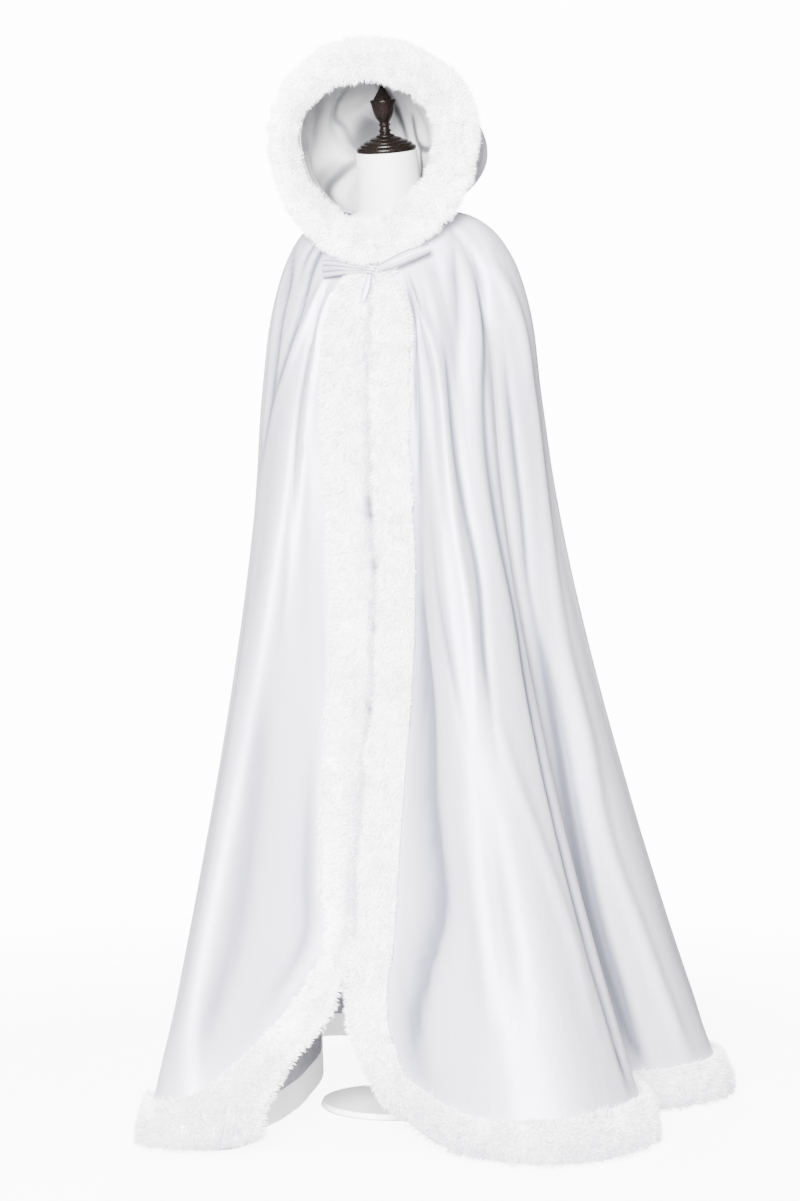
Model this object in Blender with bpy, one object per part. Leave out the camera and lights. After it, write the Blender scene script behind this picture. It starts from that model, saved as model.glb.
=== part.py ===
"""Full-length hooded satin cloak with plush trim, worn by a limbless dress form on a stand.

Units are metres, +Z is up and the cloak's front faces -Y. The origin is the middle of the
stand base's underside. +X is the wearer's left. Every sheet of cloth is a closed wall that
follows one drape surface; what lies on a panel is made from that panel's points, moved out.
"""

import math

import bmesh
import bpy
import numpy as np

# Cloth and seams
SATIN = 0.0015
LINING = 0.0012
SEAM_GAP = 0.0003
TRIM_GAP = 0.0004
SEGMENTS_PER_FOLD = 3

# Plush trim
BAND_HEIGHT = 0.074
PILE = 0.021
PILE_EDGE = 0.010
PILE_BELOW_HEM = 0.008
EDGE_OVERHANG = 0.001
TIP_SHRINK = 0.72
BAND_JOINT = 0.006
PLUSH_FLOOR = 0.003

# Heights of the drape
CHEST_Z = 1.27
DRAPE_HEIGHTS = (1.14, 1.00, 0.86, 0.72, 0.58, 0.44, 0.33, 0.23, 0.15)
YOKE_STEPS = (0.0, 0.14, 0.28, 0.42, 0.58, 0.78, 1.0)
FLARE_POWER = 1.36

# Chest ring that the folds hang from
CHEST_HALF_WIDTH = 0.252
CHEST_HALF_DEPTH = 0.190
CHEST_MIDDLE_Y = 0.030

# Neckline that the hood is sewn to
NECKLINE_HALF_WIDTH = 0.082
NECKLINE_HALF_DEPTH = 0.092
NECKLINE_MIDDLE_Y = -0.022
YOKE_CLEARANCE = 0.0010
YOKE_INSET = 0.016
NECK_SPREAD = 0.4

# Front edges and the seams of their plush bands, seen from above at each height.
# Columns: height, then x and y of the right edge, right band seam, left band seam, left edge
FRONT_RUN = (
    (1.495, 0.002, -0.116, -0.032, -0.112, 0.036, -0.111, 0.012, -0.116),
    (1.420, 0.002, -0.128, -0.068, -0.128, 0.076, -0.130, 0.012, -0.128),
    (1.270, 0.002, -0.137, -0.078, -0.142, 0.086, -0.146, 0.012, -0.137),
    (1.140, 0.002, -0.139, -0.078, -0.134, 0.086, -0.138, 0.012, -0.139),
    (1.000, 0.004, -0.122, -0.078, -0.118, 0.088, -0.118, 0.012, -0.122),
    (0.860, 0.006, -0.120, -0.076, -0.118, 0.090, -0.124, 0.014, -0.120),
    (0.720, 0.004, -0.138, -0.076, -0.138, 0.090, -0.148, 0.012, -0.138),
    (0.580, 0.002, -0.172, -0.078, -0.156, 0.088, -0.176, 0.010, -0.172),
    (0.440, 0.000, -0.199, -0.078, -0.168, 0.084, -0.192, 0.010, -0.199),
    (0.300, -0.001, -0.238, -0.076, -0.194, 0.080, -0.210, 0.012, -0.226),
    (0.190, -0.022, -0.326, -0.122, -0.292, 0.084, -0.246, 0.022, -0.262),
    (0.090, -0.064, -0.410, -0.138, -0.404, 0.148, -0.280, 0.082, -0.282),
    (0.011, -0.066, -0.426, -0.140, -0.456, 0.226, -0.334, 0.160, -0.306),
)

# Lines of the folds between the band seams, from the right front round the back.
# Columns: panel, ring angle at the chest in degrees, how far the fold stands out there,
# then x and y at the hem
FOLDS = (
    ("front_right", -34.0, 0.004, -0.212, -0.466),
    ("front_right", -49.0, 0.003, -0.278, -0.448),
    ("front_right", -63.0, 0.002, -0.290, -0.392),
    ("front_right", -76.0, -0.003, -0.232, -0.325),
    ("front_right", -87.0, -0.002, -0.140, -0.280),
    ("front_right", -95.0, 0.004, -0.136, -0.140),
    ("seam", -103.0, 0.002, -0.158, -0.010),
    ("back", -113.0, -0.003, -0.190, 0.130),
    ("back", -123.0, 0.001, -0.240, 0.260),
    ("back", -133.0, -0.002, -0.285, 0.365),
    ("back", -141.0, 0.005, -0.345, 0.465),
    ("back", -150.0, 0.004, -0.290, 0.520),
    ("back", -159.0, -0.005, -0.190, 0.455),
    ("back", -168.0, 0.005, -0.105, 0.530),
    ("back", -177.0, 0.003, -0.020, 0.535),
    ("back", -186.0, -0.005, 0.050, 0.440),
    ("back", -196.0, 0.006, 0.150, 0.530),
    ("back", -206.0, -0.003, 0.225, 0.450),
    ("back", -216.0, 0.005, 0.320, 0.490),
    ("back", -228.0, -0.005, 0.365, 0.370),
    ("back", -246.0, 0.003, 0.475, 0.385),
    ("back", -264.0, 0.006, 0.538, 0.310),
    ("back", -281.0, 0.005, 0.535, 0.205),
    ("back", -293.0, -0.003, 0.470, 0.110),
    ("seam", -300.0, -0.010, 0.405, 0.050),
    ("front_left", -306.0, 0.003, 0.470, -0.030),
    ("front_left", -313.0, 0.002, 0.512, -0.150),
    ("front_left", -320.0, -0.002, 0.466, -0.305),
    ("front_left", -326.0, 0.006, 0.385, -0.358),
    ("front_left", -332.0, 0.000, 0.306, -0.352),
)
HEM_Z = 0.011
BAND_TOP_Z = HEM_Z + BAND_HEIGHT - 0.004

# Yoke: from the neckline over the shoulder to the chest, for the front, side and back.
# Columns: neckline height, reach and height of the two handles of the curve
YOKE = {
    "front": (1.495, 0.30, 1.460, 0.85, 1.380),
    "side": (1.598, 0.68, 1.616, 0.97, 1.475),
    "back": (1.586, 0.45, 1.565, 0.90, 1.440),
}

# Hood: arches from behind the face ring to the nape. Columns: neckline angle of the arch's
# end, y and z of its top, x, y and z of its side handle, x of its crown handle
HOOD_ARCHES = (
    (32.0, -0.098, 1.873, 0.232, -0.046, 1.706, 0.180),
    (56.0, -0.056, 1.869, 0.228, -0.030, 1.718, 0.158),
    (82.0, -0.006, 1.853, 0.236, -0.002, 1.712, 0.130),
    (108.0, 0.044, 1.822, 0.272, 0.030, 1.686, 0.108),
    (136.0, 0.086, 1.776, 0.190, 0.070, 1.680, 0.082),
    (160.0, 0.112, 1.716, 0.090, 0.110, 1.655, 0.046),
    (180.0, 0.119, 1.664, 0.000, 0.122, 1.622, 0.000),
)
HOOD_COLUMNS = 14
HOOD_ROWS = 11
LINING_CLEARANCE = 0.0006
LINING_BLEND = 2.2
LINING_BULGE = 0.022
HOOD_BASE_LIFT = 0.0034

# Plush ring round the face: middle line of the band, seen from the front, from the chin
# to the crown. Columns: x, z, y, half width of the band, how far its outer edge turns back
FACE_RING = (
    (0.004, 1.537, -0.131, 0.037, 16.0),
    (0.042, 1.549, -0.127, 0.039, 18.0),
    (0.086, 1.580, -0.119, 0.041, 22.0),
    (0.133, 1.632, -0.111, 0.041, 28.0),
    (0.156, 1.716, -0.115, 0.042, 31.0),
    (0.142, 1.775, -0.122, 0.043, 30.0),
    (0.108, 1.812, -0.130, 0.043, 28.0),
    (0.055, 1.840, -0.147, 0.040, 22.0),
    (0.000, 1.848, -0.157, 0.037, 20.0),
)
RING_MIDDLE = (0.0, -0.125, 1.69)
FACE_RING_STEPS = 18
FACE_RING_BACK = 0.006
FACE_RING_FRONT = 0.026
FACE_RING_SECTION = (
    (-0.86, -1.0, 0.0),
    (0.00, -1.0, 0.0),
    (0.86, -1.0, 0.0),
    (1.00, 0.0, 0.18),
    (0.82, 0.0, 0.74),
    (0.34, 0.0, 1.00),
    (-0.34, 0.0, 1.00),
    (-0.82, 0.0, 0.74),
    (-1.00, 0.0, 0.18),
)
HOOD_ON_RING = 0.70
LINING_ON_RING = -0.70
RING_REST = 0.0017
BRIM_REST = 0.0032
CHIN_START = 0.34
CHIN_GAP = 0.0006
CHIN_X = 0.005

# Dress form below the chest: height, half width, front depth, back depth, middle y
TORSO = (
    (1.270, 0.150, 0.112, 0.100, 0.010),
    (1.170, 0.138, 0.102, 0.096, 0.010),
    (1.060, 0.122, 0.086, 0.090, 0.010),
    (0.950, 0.146, 0.092, 0.110, 0.012),
    (0.870, 0.154, 0.096, 0.116, 0.012),
    (0.820, 0.150, 0.092, 0.112, 0.012),
    (0.805, 0.136, 0.080, 0.098, 0.012),
)
TORSO_SIDES = 32
TORSO_FRONT = -0.102
SHOULDER_STEPS = (0.0, 0.14, 0.28, 0.42, 0.58)

# Neck and its turned cap, leaning forward from the neck base
NECK_RADIUS = 0.0535
NECK_ROOT_RADIUS = 0.062
NECK_BASE = (0.0, -0.006, 1.580)
NECK_ROOT = 0.010
NECK_SEAM = 0.022
NECK_LEAN = 12.5
NECK_LENGTH = 0.128
CAP_PROFILE = (
    (0.0525, 0.0000),
    (0.0525, 0.0050),
    (0.0500, 0.0080),
    (0.0460, 0.0100),
    (0.0460, 0.0150),
    (0.0400, 0.0180),
    (0.0310, 0.0205),
    (0.0220, 0.0240),
    (0.0165, 0.0290),
    (0.0120, 0.0330),
    (0.0120, 0.0355),
    (0.0130, 0.0380),
    (0.0120, 0.0405),
    (0.0132, 0.0430),
    (0.0120, 0.0455),
    (0.0092, 0.0480),
    (0.0110, 0.0540),
    (0.0165, 0.0660),
    (0.0215, 0.0800),
    (0.0222, 0.0840),
    (0.0190, 0.0870),
    (0.0120, 0.0930),
    (0.0070, 0.1020),
    (0.0028, 0.1120),
)
CAP_SIDES = 20

# Stand
POLE_RADIUS = 0.0125
POLE_TOP = 0.8047
BASE_RADIUS = 0.130
BASE_EDGE = 0.004
BASE_HEIGHT = 0.012
SOCKET_RADIUS = 0.022
SOCKET_HEIGHT = 0.040

# Ribbon tie. Columns of a ribbon: x, y, z of its middle line, half width
RIBBON = 0.0012
RIBBON_CROWN = 0.25
TIE_LEFT = (
    (-0.0038, -0.1407, 1.4890, 0.0055),
    (-0.0280, -0.1402, 1.4905, 0.0085),
    (-0.0540, -0.1342, 1.4930, 0.0125),
    (-0.0860, -0.1202, 1.4940, 0.0165),
)
TIE_RIGHT = (
    (0.0220, -0.1407, 1.4900, 0.0055),
    (0.0460, -0.1412, 1.4980, 0.0090),
    (0.0760, -0.1322, 1.5120, 0.0105),
    (0.1100, -0.1192, 1.5250, 0.0072),
)
TIE_TAIL = (
    (0.0080, -0.1412, 1.4802, 0.0035),
    (0.0060, -0.1462, 1.4630, 0.0050),
    (0.0020, -0.1482, 1.4480, 0.0055),
    (-0.0020, -0.1497, 1.4340, 0.0030),
)
KNOT_CENTRE = (0.0090, -0.1407, 1.4895)
KNOT_RADII = (0.0125, 0.0070, 0.0085)

COLOURS = {
    "satin": ((0.800, 0.785, 0.830, 1.0), 0.32, 0.0),
    "lining": ((0.760, 0.750, 0.785, 1.0), 0.36, 0.0),
    "plush": ((0.930, 0.930, 0.930, 1.0), 0.95, 0.0),
    "form": ((0.900, 0.895, 0.890, 1.0), 0.60, 0.0),
    "wood": ((0.030, 0.018, 0.014, 1.0), 0.30, 0.0),
    "stand": ((0.900, 0.900, 0.900, 1.0), 0.40, 0.0),
}


def clear_scene():
    """Remove whatever the new file starts with."""
    for thing in list(bpy.data.objects):
        bpy.data.objects.remove(thing, do_unlink=True)


def material(name):
    """One Principled material for each finish."""
    found = bpy.data.materials.get(name)
    if found:
        return found
    colour, roughness, metallic = COLOURS[name]
    made = bpy.data.materials.new(name)
    made.use_nodes = True
    shader = made.node_tree.nodes["Principled BSDF"]
    shader.inputs["Base Color"].default_value = colour
    shader.inputs["Roughness"].default_value = roughness
    shader.inputs["Metallic"].default_value = metallic
    return made


def add_object(name, mesh_builder, finish, smooth=True):
    """Turn a bmesh into a named object with its finish."""
    mesh = bpy.data.meshes.new(name)
    mesh_builder.to_mesh(mesh)
    mesh_builder.free()
    mesh.materials.append(material(finish))
    for face in mesh.polygons:
        face.use_smooth = smooth
    thing = bpy.data.objects.new(name, mesh)
    bpy.context.scene.collection.objects.link(thing)
    return thing


def curve_through(knots, values, at):
    """Smooth curve through values at knots, read at the places in at (cubic Hermite)."""
    knots = np.asarray(knots, float)
    values = np.asarray(values, float)
    at = np.asarray(at, float)
    steps = np.diff(knots)
    slopes = np.diff(values, axis=0) / steps.reshape(-1, *([1] * (values.ndim - 1)))
    tangents = np.empty_like(values)
    tangents[0] = slopes[0]
    tangents[-1] = slopes[-1]
    before = steps[:-1].reshape(-1, *([1] * (values.ndim - 1)))
    after = steps[1:].reshape(-1, *([1] * (values.ndim - 1)))
    tangents[1:-1] = (slopes[:-1] * after + slopes[1:] * before) / (before + after)
    cell = np.clip(np.searchsorted(knots, at, side="right") - 1, 0, len(knots) - 2)
    width = steps[cell].reshape(-1, *([1] * (values.ndim - 1)))
    part = ((at - knots[cell]) / steps[cell]).reshape(-1, *([1] * (values.ndim - 1)))
    return (
        (2 * part**3 - 3 * part**2 + 1) * values[cell]
        + (part**3 - 2 * part**2 + part) * width * tangents[cell]
        + (3 * part**2 - 2 * part**3) * values[cell + 1]
        + (part**3 - part**2) * width * tangents[cell + 1]
    )


def quarter_weights(angle):
    """How much of the front, side and back shape a bearing takes."""
    forward = math.cos(angle)
    return {
        "front": max(0.0, forward) ** 2,
        "side": math.sin(angle) ** 2,
        "back": max(0.0, -forward) ** 2,
    }


def neckline(angle, inset=0.0):
    """Point of the neckline at a bearing from the front, positive to the wearer's left."""
    weights = quarter_weights(angle)
    height = sum(weights[part] * YOKE[part][0] for part in weights)
    return np.array((
        (NECKLINE_HALF_WIDTH - inset) * math.sin(angle),
        NECKLINE_MIDDLE_Y - (NECKLINE_HALF_DEPTH - inset) * math.cos(angle),
        height,
    ))


def chest_point(angle, stand_out):
    """Point of the chest ring at a ring angle, moved out by a fold's height."""
    return np.array((
        (CHEST_HALF_WIDTH + stand_out) * math.sin(angle),
        CHEST_MIDDLE_Y - (CHEST_HALF_DEPTH + stand_out) * math.cos(angle),
        CHEST_Z,
    ))


def yoke_curve(angle, end, step):
    """Bezier from the neckline over the shoulder to a point of the chest ring."""
    weights = quarter_weights(angle)
    start = neckline(angle + NECK_SPREAD * math.sin(angle) * (1.0 + math.cos(angle)) / 2)
    near_reach = sum(weights[part] * YOKE[part][1] for part in weights)
    near_height = sum(weights[part] * YOKE[part][2] for part in weights)
    far_reach = sum(weights[part] * YOKE[part][3] for part in weights)
    far_height = sum(weights[part] * YOKE[part][4] for part in weights)
    near = start + (end - start) * near_reach
    near[2] = near_height
    far = start + (end - start) * far_reach
    far[2] = far_height
    rest = 1.0 - step
    return rest**3 * start + 3 * rest**2 * step * near + 3 * rest * step**2 * far + step**3 * end


def fold_line(row):
    """One line of the drape from the neckline to the hem."""
    _, degrees, stand_out, hem_x, hem_y = row
    angle = math.radians(degrees)
    chest = chest_point(angle, stand_out)
    points = [yoke_curve(angle, chest, step) for step in YOKE_STEPS]
    hem = np.array((hem_x, hem_y, HEM_Z))
    for height in (*DRAPE_HEIGHTS, BAND_TOP_Z, HEM_Z):
        fall = ((CHEST_Z - height) / (CHEST_Z - HEM_Z)) ** FLARE_POWER
        point = chest + (hem - chest) * fall
        point[2] = height
        points.append(point)
    return np.array(points)


def front_line(column):
    """A front edge or band seam, read from the table of the front run."""
    table = np.array(FRONT_RUN)[::-1]
    top = table[-1, 0]
    yoke_heights = [top + (CHEST_Z - top) * step for step in YOKE_STEPS]
    heights = [*yoke_heights, *DRAPE_HEIGHTS, BAND_TOP_Z, HEM_Z]
    plan = curve_through(table[:, 0], table[:, column:column + 2], heights)
    return np.column_stack((plan, heights))


def drape():
    """Every line of the cloak, from the right front edge round the back to the left one."""
    lines = [front_line(1), front_line(3)]
    lines += [fold_line(row) for row in FOLDS]
    lines += [front_line(5), front_line(7)]
    return np.array(lines)


def refine(lines, segments):
    """Smooth columns between the fold lines."""
    stations = np.arange(len(lines))
    at = np.linspace(0, len(lines) - 1, (len(lines) - 1) * segments + 1)
    return curve_through(stations, lines, at)


def surface_normals(grid):
    """Outward unit normal at each point of a grid of columns."""
    along = np.gradient(grid, axis=0)
    down = np.gradient(grid, axis=1)
    normal = np.cross(along, down)
    return normal / np.linalg.norm(normal, axis=2, keepdims=True)


def add_grid(builder, points, outward):
    """Add a grid of triangles with one diagonal, and return its vertices."""
    columns, rows = points.shape[:2]
    dots = [[builder.verts.new(points[i, j]) for j in range(rows)] for i in range(columns)]
    for i in range(columns - 1):
        for j in range(rows - 1):
            corners = (dots[i][j], dots[i][j + 1], dots[i + 1][j + 1], dots[i + 1][j])
            if not outward:
                corners = corners[::-1]
                builder.faces.new((corners[1], corners[2], corners[3]))
                builder.faces.new((corners[3], corners[0], corners[1]))
            else:
                builder.faces.new((corners[0], corners[1], corners[2]))
                builder.faces.new((corners[2], corners[3], corners[0]))
    return dots


def rim_of(dots):
    """Vertices round the border of a grid."""
    first = dots[0]
    last = dots[-1]
    bottom = [column[-1] for column in dots]
    top = [column[0] for column in dots]
    return first + bottom[1:-1] + last[::-1] + top[::-1][1:-1]


def wall(name, outer, inner, finish):
    """Closed wall between two grids of the same size."""
    builder = bmesh.new()
    outside = rim_of(add_grid(builder, outer, True))
    inside = rim_of(add_grid(builder, inner, False))
    count = len(outside)
    for k in range(count):
        after = (k + 1) % count
        builder.faces.new((outside[after], outside[k], inside[k]))
        builder.faces.new((inside[k], inside[after], outside[after]))
    bmesh.ops.recalc_face_normals(builder, faces=builder.faces[:])
    return add_object(name, builder, finish)


def loft(name, rings, finish):
    """Closed body through rings of the same count, capped at both ends."""
    builder = bmesh.new()
    loops = [[builder.verts.new(point) for point in ring] for ring in rings]
    count = len(loops[0])
    for upper, lower in zip(loops, loops[1:]):
        for k in range(count):
            after = (k + 1) % count
            builder.faces.new((upper[k], upper[after], lower[after]))
            builder.faces.new((lower[after], lower[k], upper[k]))
    builder.faces.new(loops[0])
    builder.faces.new(loops[-1])
    bmesh.ops.triangulate(builder, faces=[face for face in builder.faces if len(face.verts) > 3])
    bmesh.ops.recalc_face_normals(builder, faces=builder.faces[:])
    return add_object(name, builder, finish)


def split_columns():
    """First and last column of each panel in the refined drape."""
    seams = [2 + k for k, row in enumerate(FOLDS) if row[0] == "seam"]
    right_seam, left_seam = (place * SEGMENTS_PER_FOLD for place in seams)
    last = (len(FOLDS) + 3) * SEGMENTS_PER_FOLD
    return {
        "front_right": (0, right_seam),
        "back": (right_seam, left_seam),
        "front_left": (left_seam, last),
    }


def part_seam(points, start, end, first, last):
    """Take half the seam gap off each side of a panel that meets another."""
    piece = points[start:end + 1].copy()
    if start > first:
        inward = piece[1] - piece[0]
        piece[0] += inward / np.linalg.norm(inward, axis=1, keepdims=True) * SEAM_GAP
    if end < last:
        inward = piece[-2] - piece[-1]
        piece[-1] += inward / np.linalg.norm(inward, axis=1, keepdims=True) * SEAM_GAP
    return piece


def make_panels(grid, normals):
    """The back and the two fronts."""
    last = len(grid) - 1
    outer = grid + normals * SATIN / 2
    inner = grid - normals * SATIN / 2
    for name, (start, end) in split_columns().items():
        wall(
            name,
            part_seam(outer, start, end, 0, last),
            part_seam(inner, start, end, 0, last),
            "satin",
        )


def above_floor(points):
    """Keep plush off the floor the stand rests on."""
    points = np.array(points)
    points[:, 2] = np.maximum(points[:, 2], PLUSH_FLOOR)
    return points


def make_front_fur(name, grid, normals, columns, edge_column):
    """Plush band down a front edge, on the panel's outside."""
    band = grid[columns]
    facing = normals[columns]
    across = np.gradient(band, axis=0)
    across /= np.linalg.norm(across, axis=2, keepdims=True)
    edge_way = -1.0 if edge_column == 0 else 1.0
    inner = band + facing * (SATIN / 2 + TRIM_GAP)
    heights = np.array((PILE_EDGE, PILE, PILE, PILE_EDGE)).reshape(-1, 1, 1)
    outer = inner + facing * heights
    edge = 0 if edge_column == 0 else -1
    outer[edge] += across[edge] * edge_way * EDGE_OVERHANG
    rings = [list(inner[:, j]) + list(outer[::-1, j]) for j in range(band.shape[1])]
    tip = [point + np.array((0.0, 0.0, -PILE_BELOW_HEM)) for point in rings[-1]]
    middle = sum(tip) / len(tip)
    tip = [middle + (point - middle) * TIP_SHRINK for point in tip]
    loft(name, rings + [above_floor(tip)], "plush")


def make_hem_fur(name, grid, normals, start, end, gap_start, gap_end):
    """Plush band along the hem, on the panel's outside."""
    top = grid.shape[1] - 2
    rings = []
    for i in range(start, end + 1):
        high = grid[i, top]
        low = grid[i, top + 1]
        high_out = normals[i, top]
        low_out = normals[i, top + 1]
        clear = SATIN / 2 + TRIM_GAP
        down = np.array((0.0, 0.0, -1.0))
        ring = [
            high + high_out * clear,
            high + high_out * (clear + PILE_EDGE),
            high * 0.72 + low * 0.28 + high_out * (clear + PILE),
            high * 0.20 + low * 0.80 + low_out * (clear + PILE),
            low + low_out * (clear + PILE_EDGE) + down * PILE_BELOW_HEM,
            low + low_out * (clear + 0.002) + down * PILE_BELOW_HEM,
            low + low_out * clear,
        ]
        rings.append(above_floor(ring[::-1]))
    for here, near, gap in ((0, 1, gap_start), (-1, -2, gap_end)):
        inward = rings[near] - rings[here]
        rings[here] = rings[here] + inward / np.linalg.norm(inward, axis=1, keepdims=True) * gap
    loft(name, rings, "plush")


def make_facing(grid, normals):
    """Satin facing inside the hem, all the way round."""
    rows = grid[:, -2:]
    inward = normals[:, -2:]
    outer = rows - inward * (SATIN / 2 + TRIM_GAP)
    inner = outer - inward * LINING
    wall("hem_facing", outer, inner, "lining")


def ring_frames(samples):
    """Middle points of the face ring with the ways across the band and out of its face."""
    centre = samples[:, [0, 2, 1]]
    way = np.gradient(centre, axis=0)
    way /= np.linalg.norm(way, axis=1, keepdims=True)
    frames = []
    for point, run, degrees in zip(centre, way, samples[:, 4]):
        outward = point - np.array(RING_MIDDLE)
        outward -= run * outward.dot(run)
        outward /= np.linalg.norm(outward)
        forward = np.cross(run, outward)
        if forward[1] > 0:
            forward = -forward
        turn = math.radians(degrees)
        wide = outward * math.cos(turn) - forward * math.sin(turn)
        thick = forward * math.cos(turn) + outward * math.sin(turn)
        frames.append((point, wide, thick))
    return frames


def ring_samples(steps, start=0.0):
    """Rows of the face ring's table, smoothed, from near the chin to the crown."""
    last = len(FACE_RING) - 1
    return curve_through(np.arange(last + 1), FACE_RING, np.linspace(start, last, steps + 1))


def line_on_ring(steps, across, rest):
    """Line behind the face ring, at a share of its half width from the middle."""
    samples = ring_samples(steps, CHIN_START)
    line = []
    for row, (point, wide, thick) in zip(samples, ring_frames(samples)):
        line.append(point + wide * row[3] * across - thick * (FACE_RING_BACK + rest))
    line = np.array(line)
    line[-1, 0] = 0.0
    return line


def hood_arch(row):
    """One arch of the hood, from the neckline over the side to its top."""
    degrees, top_y, top_z, side_x, side_y, side_z, crown_x = row
    foot = neckline(math.radians(degrees))
    foot[2] += HOOD_BASE_LIFT
    top = np.array((0.0, top_y, top_z))
    side = np.array((side_x, side_y, side_z))
    crown = top + np.array((crown_x, 0.0, 0.0))
    steps = np.linspace(0.0, 1.0, HOOD_ROWS + 1).reshape(-1, 1)
    rest = 1.0 - steps
    low = rest**3 * foot + 3 * rest**2 * steps * side
    return low + 3 * rest * steps**2 * crown + steps**3 * top


def hood_grid():
    """Left half of the hood, from the face ring to the centre back."""
    known = len(HOOD_ARCHES)
    table = curve_through(np.arange(known), HOOD_ARCHES, np.linspace(0, known - 1, HOOD_COLUMNS - 1))
    arches = [line_on_ring(HOOD_ROWS, HOOD_ON_RING, RING_REST)]
    arches += [hood_arch(row) for row in table]
    places = [0, *range(2, HOOD_COLUMNS + 1)]
    return curve_through(places, np.array(arches), np.arange(HOOD_COLUMNS + 1))


def mirrored(grid):
    """The same grid for the wearer's right."""
    flipped = grid * np.array((-1.0, 1.0, 1.0))
    return flipped[::-1]


def hood_normals(grid):
    """Outward unit normals of the left half of the hood."""
    normals = surface_normals(grid)
    profile = np.concatenate((grid[:, -1], grid[-1, -2::-1]))
    way = np.gradient(profile, axis=0)
    out = np.column_stack((np.zeros(len(way)), -way[:, 2], way[:, 1]))
    out /= np.linalg.norm(out, axis=1, keepdims=True)
    normals[:, -1] = out[:len(grid)]
    normals[-1, ::-1] = out[len(grid) - 1:]
    return normals


def make_hood():
    """Two satin halves and the lining inside them."""
    shell = hood_grid()
    out = hood_normals(shell)
    shell = shell + np.array((SEAM_GAP / 2, 0.0, 0.0))
    for name, turn in (("hood_left", False), ("hood_right", True)):
        outer = shell + out * SATIN / 2
        inner = shell - out * SATIN / 2
        if turn:
            outer = mirrored(outer)
            inner = mirrored(inner)
        wall(name, outer, inner, "satin")
    make_lining()


def make_lining():
    """The lining lies inside the hood and runs to the inner edge of the face ring."""
    shell = hood_grid()
    out = hood_normals(shell)
    shell = shell + np.array((SEAM_GAP / 2, 0.0, 0.0))
    shell = shell - out * (SATIN / 2 + LINING / 2 + LINING_CLEARANCE)
    brim = line_on_ring(HOOD_ROWS, LINING_ON_RING, BRIM_REST) + np.array((SEAM_GAP / 2, 0.0, 0.0))
    places = np.linspace(0, len(HOOD_ARCHES), HOOD_COLUMNS + 1)
    share = (np.maximum(0.0, 1.0 - places / LINING_BLEND) ** 2).reshape(-1, 1, 1)
    bulge = np.array((0.0, LINING_BULGE, 0.0)) * share * (1.0 - share)
    shell = shell * (1.0 - share) + brim * share + bulge
    out = hood_normals(shell)
    for name, turn in (("hood_lining_left", False), ("hood_lining_right", True)):
        outer = shell + out * LINING / 2
        inner = shell - out * LINING / 2
        if turn:
            outer = mirrored(outer)
            inner = mirrored(inner)
        wall(name, outer, inner, "lining")


def make_face_ring():
    """Plush band round the face opening, its two ends meeting under the chin."""
    samples = ring_samples(FACE_RING_STEPS)
    rings = []
    for row, (point, wide, thick) in zip(samples, ring_frames(samples)):
        ring = []
        for reach, back, front in FACE_RING_SECTION:
            lift = back * FACE_RING_BACK + front * FACE_RING_FRONT
            ring.append(point + wide * row[3] * reach + thick * lift)
        rings.append(np.array(ring))
    rings[-1][:, 0] = 0.0
    rings[0][:, 0] = CHIN_X + CHIN_GAP / 2
    flip = np.array((-1.0, 1.0, 1.0))
    other = [ring * flip for ring in rings[:-1]]
    other[0][:, 0] = CHIN_X - CHIN_GAP / 2
    loft("hood_fur", rings + other[::-1], "plush")


def ribbon(name, table):
    """Flat ribbon along a short table of points."""
    rows = np.array(table)
    fine = curve_through(np.arange(len(rows)), rows, np.linspace(0, len(rows) - 1, 3 * len(rows) - 2))
    way = np.gradient(fine[:, :3], axis=0)
    way /= np.linalg.norm(way, axis=1, keepdims=True)
    rings = []
    for row, run in zip(fine, way):
        out = np.array((0.0, -1.0, 0.0))
        out = out - run * out.dot(run)
        out /= np.linalg.norm(out)
        wide = np.cross(run, out)
        centre = row[:3]
        half = wide * row[3]
        thick = out * RIBBON / 2
        belly = out * row[3] * RIBBON_CROWN
        rings.append([
            centre - half - thick,
            centre - thick + belly,
            centre + half - thick,
            centre + half + thick,
            centre + thick + belly,
            centre - half + thick,
        ])
    loft(name, rings, "satin")


def make_knot():
    """Soft knot of the ribbon."""
    builder = bmesh.new()
    bmesh.ops.create_uvsphere(builder, u_segments=12, v_segments=8, radius=1.0)
    bmesh.ops.scale(builder, vec=KNOT_RADII, verts=builder.verts[:])
    bmesh.ops.translate(builder, vec=KNOT_CENTRE, verts=builder.verts[:])
    bmesh.ops.triangulate(builder, faces=builder.faces[:])
    add_object("tie_knot", builder, "satin")


def torso_shoulder(angle, step):
    """Shoulder of the form, just under the yoke."""
    chest = chest_point(angle, 0.0)
    point = yoke_curve(angle, chest, step)
    after = yoke_curve(angle, chest, step + 0.01)
    run = after - point
    side = np.array((math.cos(angle), math.sin(angle), 0.0))
    out = np.cross(run, side)
    out /= np.linalg.norm(out)
    if out[2] < 0:
        out = -out
    point = point - out * (SATIN / 2 + YOKE_CLEARANCE + YOKE_INSET * step)
    point[1] = max(point[1], TORSO_FRONT)
    return point


def make_torso():
    """Smooth limbless torso, its shoulders carrying the yoke."""
    angles = [2 * math.pi * k / TORSO_SIDES for k in range(TORSO_SIDES)]
    rings = [
        [neck_point(angle, NECK_RADIUS, NECK_SEAM - SEAM_GAP) for angle in angles],
        [neck_point(angle, NECK_ROOT_RADIUS, NECK_ROOT) for angle in angles],
    ]
    rings += [[torso_shoulder(angle, step) for angle in angles] for step in SHOULDER_STEPS]
    for height, half_width, front, behind, middle in TORSO:
        ring = []
        for angle in angles:
            depth = front if math.cos(angle) > 0 else behind
            ring.append(np.array((
                half_width * math.sin(angle),
                middle - depth * math.cos(angle),
                height,
            )))
        rings.append(ring)
    loft("form_torso", rings, "form")


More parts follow.
